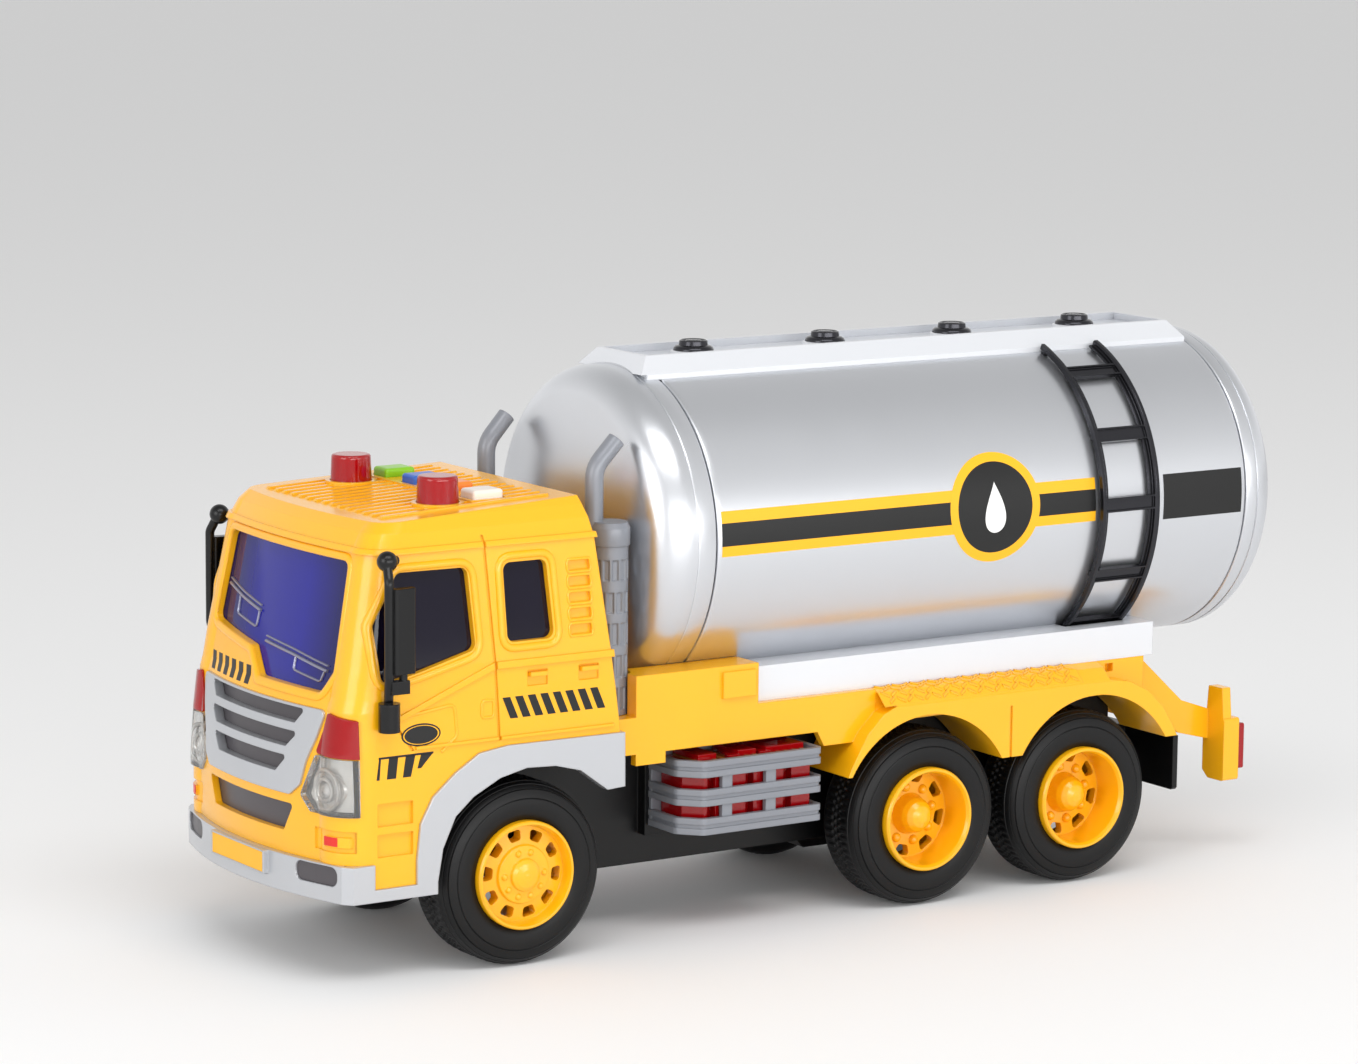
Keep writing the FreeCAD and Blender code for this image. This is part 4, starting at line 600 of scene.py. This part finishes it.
def stack_shells():
    """The left shield, with slots that repeat round and along it, every other row half a pitch
    further round, and its tail pipe."""
    angle = np.linspace(0, 2 * math.pi, 96, endpoint=False)
    z = np.concatenate([[57.7, 57.7], np.linspace(57.9, 99.8, 110), RIM_Z])
    base = np.full(len(z), SHIELD_R)
    base[0] = 0.0
    base[-len(RIM_R):] = RIM_R
    row = np.mod(z - SLOT_FIRST_Z, SLOT_PITCH)
    odd = np.mod(np.floor((z - SLOT_FIRST_Z) / SLOT_PITCH), 2) > 0
    column = np.mod(angle / (2 * math.pi) * SLOTS_ROUND + np.where(odd, 0.5, 0.0)[:, None], 1.0)
    in_row = ((row > 1.4) & (row < 6.6) & (z < 99.0) & (z > 59.0))[:, None]
    slot = in_row & (column > 0.24) & (column < 0.76)
    r = base[:, None] - SLOT_DEPTH * slot
    points = np.stack([r * np.cos(angle), r * np.sin(angle),
                       np.broadcast_to(z[:, None], r.shape)], -1)
    shield = around(points + np.array([45.2, 28.4, 0.0]))
    bend = rounded_outline(PIPE_PATH, 7.0, 1.0, closed=False)
    return [shield, tube_shell(bend, 2.3, hollow=1.5)]


stack = stack_shells()
make_piece("exhaust_stack_left", stack, grey_abs, sharp=30, replaces=("exhaust_left",))
make_piece("exhaust_stack_right", [mirror_shell(shell) for shell in stack], grey_abs, sharp=30,
           replaces=("exhaust_right",))

# ---------------------------------------------------------------- tank
# Barrel and dished ends are blow-moulded ABS under satin silver paint, whose aluminium flake
# gives a soft metal sheen. The ends plug into the barrel with a fine joint line at each seam.

TANK_Z = 99.4
TANK_R = 41.4
WALL_R = TANK_R - 1.6
TANK_TURNS = 256
silver_paint = moulding("satin_silver_paint", "#DADCE0", 0.3, mottle=0.035, peel_mm=0.22,
                        peel=0.05, edge_mm=0, Metallic=0.92)


def dish_profile(seam, straight, knuckle, edge, apex):
    """Half section of a dished end as (radius, along): lip, straight wall with a fine step,
    knuckle arc through three points, and a crown arc centred on the axis."""
    p = np.array([straight, TANK_R])
    q = np.array(knuckle)
    s = np.array(edge)
    matrix = 2 * np.array([q - p, s - p])
    centre = np.linalg.solve(matrix, np.array([q @ q - p @ p, s @ s - p @ p]))
    radius = np.linalg.norm(p - centre)
    sign = 1.0 if apex > seam else -1.0
    a0 = math.atan2(p[1] - centre[1], sign * (p[0] - centre[0]))
    a1 = math.atan2(s[1] - centre[1], sign * (s[0] - centre[0]))
    t = np.linspace(a0, a1, 16)
    knuckle_line = np.stack([centre[1] + radius * np.sin(t),
                             centre[0] + sign * radius * np.cos(t)], -1)
    cx = (s[0] ** 2 + s[1] ** 2 - apex ** 2) / (2 * (s[0] - apex))
    big = abs(apex - cx)
    t = np.linspace(math.asin(s[1] / big), 0.0, 24)
    crown = np.stack([big * np.sin(t), cx + sign * big * np.cos(t)], -1)
    lip = np.array([(WALL_R, seam), (TANK_R - 0.45, seam), (TANK_R - 0.1, seam + sign * 0.12),
                    (TANK_R, seam + sign * 0.4)])
    step = np.array([(TANK_R - drop, straight - sign * back) for drop, back in
                     ((0, 1.9), (0.02, 1.6), (0.22, 1.5), (0.22, 1.3), (0.02, 1.2))])
    return np.concatenate([lip, step, knuckle_line, crown[1:]])


def tank_part(name, profile, replaced):
    """A painted part of the tank, turned about its axis from a closed half section."""
    make_piece(name, [lathe_shell(profile, (0, 0, TANK_Z), "x", TANK_TURNS, wrap=True)],
               silver_paint, sharp=60, replaces=(replaced,))


barrel = [(WALL_R, 21.8), (TANK_R - 0.45, 21.8), (TANK_R - 0.1, 21.65), (TANK_R, 21.3)]
barrel = barrel + [(TANK_R, x) for x in np.linspace(20.0, -146.0, 12)]
barrel = barrel + [(TANK_R, -146.8), (TANK_R - 0.1, -147.15), (TANK_R - 0.45, -147.3),
                   (WALL_R, -147.3)]
tank_part("tank_barrel_skin", barrel, "tank_barrel")
# Inside, each dish is a hollow cone from DISH_SKIN behind its crown out to a flat rim at depth.
DISH_SKIN = 1.6
front = dish_profile(22.25, 29.0, (35.4, 39.2), (38.3, 34.0), 42.0)
rear = dish_profile(-147.75, -153.0, (-156.7, 39.5), (-158.3, 35.0), -160.0)
for name, profile, depth in (("front", front, 24.0), ("rear", rear, -149.0)):
    inside = np.array([(0.0, profile[-1, 1] - math.copysign(DISH_SKIN, depth)), (36.0, depth),
                       (WALL_R, depth)])
    tank_part("tank_%s_dish" % name, np.concatenate([profile, inside]), "tank_%s_cap" % name)


def on_tank(x, angle, lift):
    """Points on the barrel's left side: angle in degrees from the top, lift above the paint."""
    a = np.radians(angle)
    r = TANK_R + lift
    return np.stack([x + 0 * a, r * np.sin(a), TANK_Z + r * np.cos(a)], -1)


def on_tank_mm(x, down, lift):
    """As on_tank, with the distance round the barrel given in millimetres from the top."""
    return on_tank(x, np.degrees(down / TANK_R), lift)


def stripe(x0, x1, a0, a1, lift):
    """A print on the barrel from x0 to x1 and from a0 to a1 degrees."""
    return patch_shell(on_tank, [(x0, a0), (x1, a0), (x1, a1), (x0, a1)], (24, 10), lift)


# Both sides carry a yellow band with a black line along it, a ringed black disc with a plain
# drop for the liquid carried, and a plain black plate. Each print lies a little over what it covers.
BADGE = (-63.9, math.radians(85.6) * TANK_R)
yellow_bits = [stripe(20.6, -96.6, 78.2, 94.0, 0.05),
               disc_shell(on_tank_mm, BADGE, (14.4, 14.4), 0.0, 0.09, 96)]
black_bits = [stripe(20.6, -51.0, 82.4, 90.4, 0.075), stripe(-76.8, -96.6, 82.4, 90.4, 0.075),
              disc_shell(on_tank_mm, BADGE, (11.9, 11.9), 0.0, 0.115, 96),
              stripe(-119.4, -146.0, 79.4, 96.0, 0.06)]
# The drop is a teardrop curve: its width grows from the point at the top to the round foot. Its
# face and its back are DROP_RINGS shrunken copies of the curve each.
DROP_HALF, DROP_REACH, DROP_LIFT, DROP_RINGS = 4.6, 6.6, 0.15, 8
t = np.linspace(0, 2 * math.pi, 96, endpoint=False)
drop = np.stack([DROP_HALF * np.sin(t) * np.sin(t / 2) ** 1.4, -DROP_REACH * np.cos(t)], -1)
rising = np.linspace(0, 1, DROP_RINGS)
drop_share = np.concatenate([rising, np.linspace(1, 0, DROP_RINGS)])[:, None]
drop_lift = np.repeat([DROP_LIFT, 0.0], DROP_RINGS)[:, None]
drop_points = on_tank_mm(BADGE[0] + drop_share * drop[:, 0], BADGE[1] + drop_share * drop[:, 1],
                         drop_lift + 0 * drop_share * drop[:, 0])
white_bits = [around(drop_points)]
make_piece("tank_band_yellow", both_sides(yellow_bits), yellow_vinyl, sharp=60)
make_piece("tank_band_black", both_sides(black_bits), black_vinyl, sharp=60)
make_piece("tank_badge_drop", both_sides(white_bits), white_vinyl, sharp=60)

# ---------------------------------------------------------------- walkway, hatches and saddle
# A white-silver painted tray with leaning walls clips along the tank's crown; four two-step
# hatch caps stand in it. The saddle below, in the same paint, carries the tank on the deck.

pale_paint = moulding("white_silver_paint", "#DCDEE2", 0.32, mottle=0.03, peel=0.05, edge_mm=0.3,
                      Metallic=0.25)
dark_plate = moulding("dark_vacuum_plate", "#3E3E42", 0.2, mottle=0.12, peel=0.04, edge_mm=0.25,
                      Metallic=0.9)
finish_node(pale_paint, "walkway_tray", "tank_saddle")
HATCHES = (2.4, -38.6, -79.6, -120.6)
LID = [(0.0, 145.45), (1.9, 145.45), (2.2, 145.2), (2.7, 145.2), (3.2, 145.5), (3.6, 145.3),
       (3.75, 144.2), (4.5, 144.0), (5.0, 143.6), (5.15, 143.1), (5.15, 142.7), (0.0, 142.7)]
COLLAR = [(5.25, 142.9), (5.85, 142.75), (6.0, 142.0), (6.2, 141.4), (6.9, 141.3), (6.9, 140.9),
          (5.25, 140.9)]
caps = [lathe_shell(LID, (x, 0, 0), "z", 56) for x in HATCHES]
bosses = [lathe_shell(COLLAR, (x, 0, 0), "z", 56, wrap=True) for x in HATCHES]
make_piece("hatch_lids", caps, dark_plate, sharp=50, replaces=("hatch_caps",))
make_piece("hatch_rings", bosses, pale_paint, sharp=50)

# ---------------------------------------------------------------- ladders
# Each ladder is one dark plated moulding bent round the tank: two angle-section rails, and flat
# rungs with a raised edge that stand just off the paint.


def arc_bar(x_section, r_section, a0, a1, count=72):
    """A bar of the given closed section swept round the tank's axis from a0 to a1 degrees."""
    angle = np.radians(np.linspace(a0, a1, count))[:, None]
    x = np.array(x_section)[None, :]
    r = np.array(r_section)[None, :]
    points = np.stack([x + 0 * angle, r * np.sin(angle), TANK_Z + r * np.cos(angle)], -1)
    return capped_shell(points)


def box_bar(x0, x1, r0, r1, a0, a1, count):
    """A swept bar of rectangular section."""
    return arc_bar([x0, x1, x1, x0], [r0, r0, r1, r1], a0, a1, count)


RAIL_X = (-98.2, -115.0)
RAIL_R = TANK_R + 0.75
RUNG_X = (-98.4, -114.8)
RUNG_R = TANK_R + 0.9
RUNG_HALF = 2.3  # degrees, as are the angles below
RUNGS = (37.5, 63.8, 88.5, 114.6, 139.0)
FEET = (23.0, 63.8, 114.6)
FOOT_HALF = (0.7, 0.9)  # half sizes in mm along the tank and in degrees round it
ladder = []
for x, lean in zip(RAIL_X, (-1.0, 1.0)):
    xs = x + lean * np.array([-1.0, 0.0, 0.35, 0.35, -0.55, -1.0])
    rs = np.array([RAIL_R + 1.85, RAIL_R + 1.85, RAIL_R + 1.5, RAIL_R, RAIL_R, RAIL_R + 0.4])
    ladder.append(arc_bar(xs, rs, 21.5, 149.0))
    ladder.append(box_bar(x + lean * -0.6, x + lean * 1.6, RAIL_R + 0.05, RAIL_R + 0.6,
                          21.8, 148.7, 72))
for angle in RUNGS:
    ladder.append(box_bar(*RUNG_X, RUNG_R, TANK_R + 1.5, angle - RUNG_HALF, angle + RUNG_HALF, 6))
    for edge in (-2.5, 1.9):
        ladder.append(box_bar(*RUNG_X, RUNG_R, TANK_R + 2.2, angle + edge, angle + edge + 0.6, 3))
for x in RAIL_X:
    for angle in FEET:
        ladder.append(box_bar(x - FOOT_HALF[0], x + FOOT_HALF[0], TANK_R - 0.1, TANK_R + 1.0,
                              angle - FOOT_HALF[1], angle + FOOT_HALF[1], 3))
make_piece("ladder_bars_left", ladder, dark_plate, sharp=40, replaces=("ladder_left",))
make_piece("ladder_bars_right", [mirror_shell(shell) for shell in ladder], dark_plate, sharp=40,
           replaces=("ladder_right",))

# ---------------------------------------------------------------- deck and mudguards
# Deck rails, mudguards and tail arms are one yellow ABS moulding; the mudguards' tops carry a
# pressed tread of short bars set alternately.

finish_node(yellow_abs, "deck_frame")


GUARD_FOLD_Y = 38.0


def on_guard(x, y, lift):
    """The mudguard's sloping top, two planes that meet in a fold."""
    z = np.where(y < GUARD_FOLD_Y, 57.8 - (y - 35.4) * 0.365, 56.85 - (y - GUARD_FOLD_Y) * 0.952)
    return np.stack([x + 0 * y, y + 0 * x, z + lift], -1)


TREAD_PITCH = 2.8
TREAD_END_X = -92.6
tread = []
for row, y in enumerate((35.9, 37.2, 38.7, 40.2)):
    for i in range(22):
        x = -31.6 - TREAD_PITCH * i - (TREAD_PITCH / 2 if row % 2 else 0.0)
        lean = 0.45 if (i + row) % 2 else -0.45
        if x > TREAD_END_X:
            bar = [(x - 0.95, y - 0.3 - lean), (x + 0.95, y - 0.3 + lean),
                   (x + 0.95, y + 0.3 + lean), (x - 0.95, y + 0.3 - lean)]
            tread.append(patch_shell(on_guard, bar, (1, 1), 0.28))
make_piece("mudguard_tread", both_sides(tread), yellow_abs, sharp=30)

# ---------------------------------------------------------------- chassis and friction drive
# The chassis tub, mud flaps, battery lid and gear case are black ABS. Axles are steel wire, the
# gears natural acetal and the flywheel a cast weight; they run inside the closed case.

tub_black = moulding("satin_black_abs", "#070708", 0.34, mottle=0.15, peel_mm=0.4, peel=0.08,
                     IOR=1.53, Specular_IOR_Level=0.3)
finish_node(tub_black, "chassis_tub", "battery_cover", "gear_case")
finish_node(moulding("drawn_steel_wire", "#A9A9AC", 0.28, mottle=0.08, Metallic=1.0),
            "axle_front", "axle_mid", "axle_rear")
finish_node(moulding("natural_acetal", "#E9E6DA", 0.42, mottle=0.03),
            "drive_gear", "compound_gear", "idler_gear")
finish_node(moulding("cast_zinc_weight", "#8C8D90", 0.42, mottle=0.1, Metallic=1.0), "flywheel")

# ---------------------------------------------------------------- side baskets
# Grey ABS side racks hold a clear red styrene block, moulded with slats on top, that lights up
# with the truck's lamps.

finish_node(grey_abs, "basket_left", "basket_right")
finish_node(red_lens, "basket_insert_left", "basket_insert_right")
# The ribs between the slats belong to the red block; they are coloured darker brown as painted shade
# in the hollows between the slats.
rib_shade = moulding("red_rib_painted_shade", "#A8622A", 0.2, mottle=0.2, peel=0.03, IOR=1.59,
                     Transmission_Weight=0.2)
RACK_TOP_Z = 44.3
RIB_PITCH = 2.4
slats = []
ribs = []


def on_rack_top(x, y, lift):
    """Points over the red block's flat top."""
    return np.stack([x + 0 * y, y + 0 * x, RACK_TOP_Z + lift + 0 * x * y], -1)


for x in (22.0, 13.0, 3.6):
    slat = [(x, 26.2), (x - 3.4, 26.2), (x - 0.6, 38.0), (x + 3.0, 38.0)]
    slats.append(patch_shell(on_rack_top, slat, (1, 1), 1.1))
for i in range(14):
    x = 25.0 - RIB_PITCH * i
    rib = [(x, 26.4), (x - 1.2, 26.4), (x - 1.2, 38.2), (x, 38.2)]
    ribs.append(patch_shell(on_rack_top, rib, (1, 1), 0.6))
make_piece("rack_slats", both_sides(slats), red_lens, sharp=30)
make_piece("rack_ribs", both_sides(ribs), rib_shade, sharp=30)

# ---------------------------------------------------------------- wheels
# Tyres are soft black vinyl with a fine ribbed tread and ring lines on the sidewalls; rims are
# yellow ABS, the front ones flat-faced and the rear ones deep-dished, pressed on the axles.

tyre_vinyl = moulding("matt_black_vinyl", "#0A0A0B", 0.46, mottle=0.12, peel_mm=0.3, peel=0.12,
                      edge_mm=0, IOR=1.5, Specular_IOR_Level=0.3)
AXLES = ("front", "mid", "rear")
for place in AXLES:
    finish_node(yellow_abs, "hub_%s_left" % place, "hub_%s_right" % place)

# Half section of the tyre as (radius, y), from the bead up the outer sidewall to the tread, with
# the tread's own rows at CROWN_Y, and down the inner sidewall.
TYRE_LINE = [(13.5, 25.2), (13.5, 40.4), (14.2, 41.0), (15.4, 41.3), (17.4, 41.4), (18.6, 41.25),
             (18.8, 41.05), (19.0, 41.2), (20.0, 41.0), (20.9, 40.55), (21.0, 40.3), (21.2, 40.4),
             (21.9, 39.6), (22.0, 39.3), (22.2, 39.3), (22.6, 38.3), (22.62, 38.0), (22.8, 37.9)]
CROWN_Y = np.concatenate([[37.2, 36.4], np.linspace(35.6, 30.2, 13), [29.4, 28.6]])
TYRE_BACK = [(22.8, 27.9), (22.6, 27.4), (22.0, 26.4), (21.2, 25.6), (20.0, 25.0), (17.6, 24.4),
             (15.2, 24.6)]
AXLE_Z = 23.0
TREAD_R = 22.96
TYRE_TURNS = 288  # four steps to a slot and its block
BAND_START_Y, BAND_WIDTH, BANDS = 29.9, 1.5, 4
SLOT_CUT, SHOULDER_CUT, GROOVE_CUT = 0.4, 0.25, 0.5


def tyre_shell(x):
    """A left tyre at x. Its tread falls in 72 cross slots, shallower in the shoulders; each
    band's slots stand half a pitch on from its neighbours', and two plain grooves run round it."""
    angle = np.linspace(0, 2 * math.pi, TYRE_TURNS, endpoint=False)
    step = np.arange(TYRE_TURNS)
    crown = []
    for y in CROWN_Y:
        band = int(np.clip((y - BAND_START_Y) / BAND_WIDTH, 0, BANDS - 0.01))
        groove = 29.6 < y < 36.0 and (y - BAND_START_Y) % BAND_WIDTH < 0.28
        cut = ((step + 2 * (band % 2)) % 4) < 2
        slot = (SLOT_CUT if 29.0 < y < 36.6 else SHOULDER_CUT) * cut
        crown.append(np.full(TYRE_TURNS, TREAD_R) - (GROOVE_CUT if groove else slot))
    line = np.array(TYRE_LINE)
    back = np.array(TYRE_BACK)
    r = np.concatenate([np.repeat(line[:, :1], TYRE_TURNS, 1), np.array(crown),
                        np.repeat(back[:, :1], TYRE_TURNS, 1)])
    y = np.concatenate([line[:, 1], CROWN_Y, back[:, 1]])[:, None] + 0 * r
    points = np.stack([x + r * np.cos(angle), y, AXLE_Z + r * np.sin(angle)], -1)
    return around(points, wrap_u=True)


for place in AXLES:
    low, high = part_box("tyre_%s_left" % place)
    shell = tyre_shell((low.x + high.x) * 500 - DATUM_X)
    for side, skin in (("left", shell), ("right", mirror_shell(shell))):
        make_piece("tyre_skin_%s_%s" % (place, side), [skin], tyre_vinyl, body=place + "_axle",
                   sharp=30, replaces=("tyre_%s_%s" % (place, side),))

# ---------------------------------------------------------------- floor, light and camera
# A plain pale studio floor under soft light; the camera looks from ahead of the truck's left side.

paper = bpy.data.materials.new("pale_studio_paper")
paper.use_nodes = True
shader = paper.node_tree.nodes["Principled BSDF"]
shader.inputs["Base Color"].default_value = linear("#F4F4F4")
shader.inputs["Roughness"].default_value = 0.85
FLOOR_HALF = 30  # metres
mesh = bpy.data.meshes.new("studio_floor")
mesh.from_pydata([(-FLOOR_HALF, -FLOOR_HALF, 0), (FLOOR_HALF, -FLOOR_HALF, 0),
                  (FLOOR_HALF, FLOOR_HALF, 0), (-FLOOR_HALF, FLOOR_HALF, 0)], [], [[0, 1, 2, 3]])
mesh.materials.append(paper)
floor = bpy.data.objects.new("studio_floor", mesh)
bpy.context.scene.collection.objects.link(floor)

# White air that is brighter near the horizon than overhead.
world = bpy.data.worlds.new("studio_air")
bpy.context.scene.world = world
world.use_nodes = True
tree = world.node_tree
air = tree.nodes["Background"]
air.inputs["Color"].default_value = (1, 1, 1, 1)
sky = add_node(tree, "ShaderNodeTexCoord").outputs["Generated"]
height = add_node(tree, "ShaderNodeSeparateXYZ", {"Vector": sky})
dim = add_node(tree, "ShaderNodeMapRange", {
    "Value": height.outputs["Z"], "From Min": 0.15, "From Max": 0.9,
    "To Min": 0.98, "To Max": 0.5})
tree.links.new(dim.outputs["Result"], air.inputs["Strength"])
bpy.context.scene.view_settings.view_transform = "Standard"


def softbox(name, place, target, size, power):
    """A rectangular area lamp at place, facing target, sizes in metres and power in watts."""
    lamp = bpy.data.lights.new(name, "AREA")
    lamp.shape = "RECTANGLE"
    lamp.size = size[0]
    lamp.size_y = size[1]
    lamp.energy = power
    body = bpy.data.objects.new(name, lamp)
    bpy.context.scene.collection.objects.link(body)
    back = np.array(place, float) - np.array(target, float)
    tilt = math.acos(back[2] / np.linalg.norm(back))
    body.location = place
    body.rotation_euler = (tilt, 0.0, math.atan2(back[1], back[0]) + math.pi / 2)


softbox("key_overhead", (0.25, 0.75, 1.25), (0, 0, 0.08), (1.3, 0.5), 8.0)
softbox("side_wall", (0.1, 1.5, 0.28), (0, 0, 0.1), (1.8, 0.35), 9.0)
softbox("front_fill", (1.5, 0.35, 0.5), (0, 0, 0.08), (0.8, 0.8), 6.0)

lens = bpy.data.cameras.new("camera")
lens.lens = 123.11
lens.sensor_width = 36.0
lens.clip_end = 100.0
camera = bpy.data.objects.new("camera", lens)
bpy.context.scene.collection.objects.link(camera)
# The camera stands at CAMERA_AT in metres; bearing is from ahead of the truck round to its left.
CAMERA_AT = (0.66505, 0.9831, 0.2826)
BEARING, ELEVATION, ROLL = (math.radians(v) for v in (56.69, 9.01, 0.49))
back = np.array([math.cos(BEARING) * math.cos(ELEVATION), math.sin(BEARING) * math.cos(ELEVATION),
                 math.sin(ELEVATION)])
right = np.array([-math.sin(BEARING), math.cos(BEARING), 0.0])
up = np.cross(back, right)
right_rolled = right * math.cos(ROLL) + up * math.sin(ROLL)
up_rolled = -right * math.sin(ROLL) + up * math.cos(ROLL)
camera.matrix_world = [list(right_rolled) + [0], list(up_rolled) + [0], list(back) + [0],
                       list(CAMERA_AT) + [1]]
bpy.context.scene.camera = camera

bpy.context.view_layer.update()
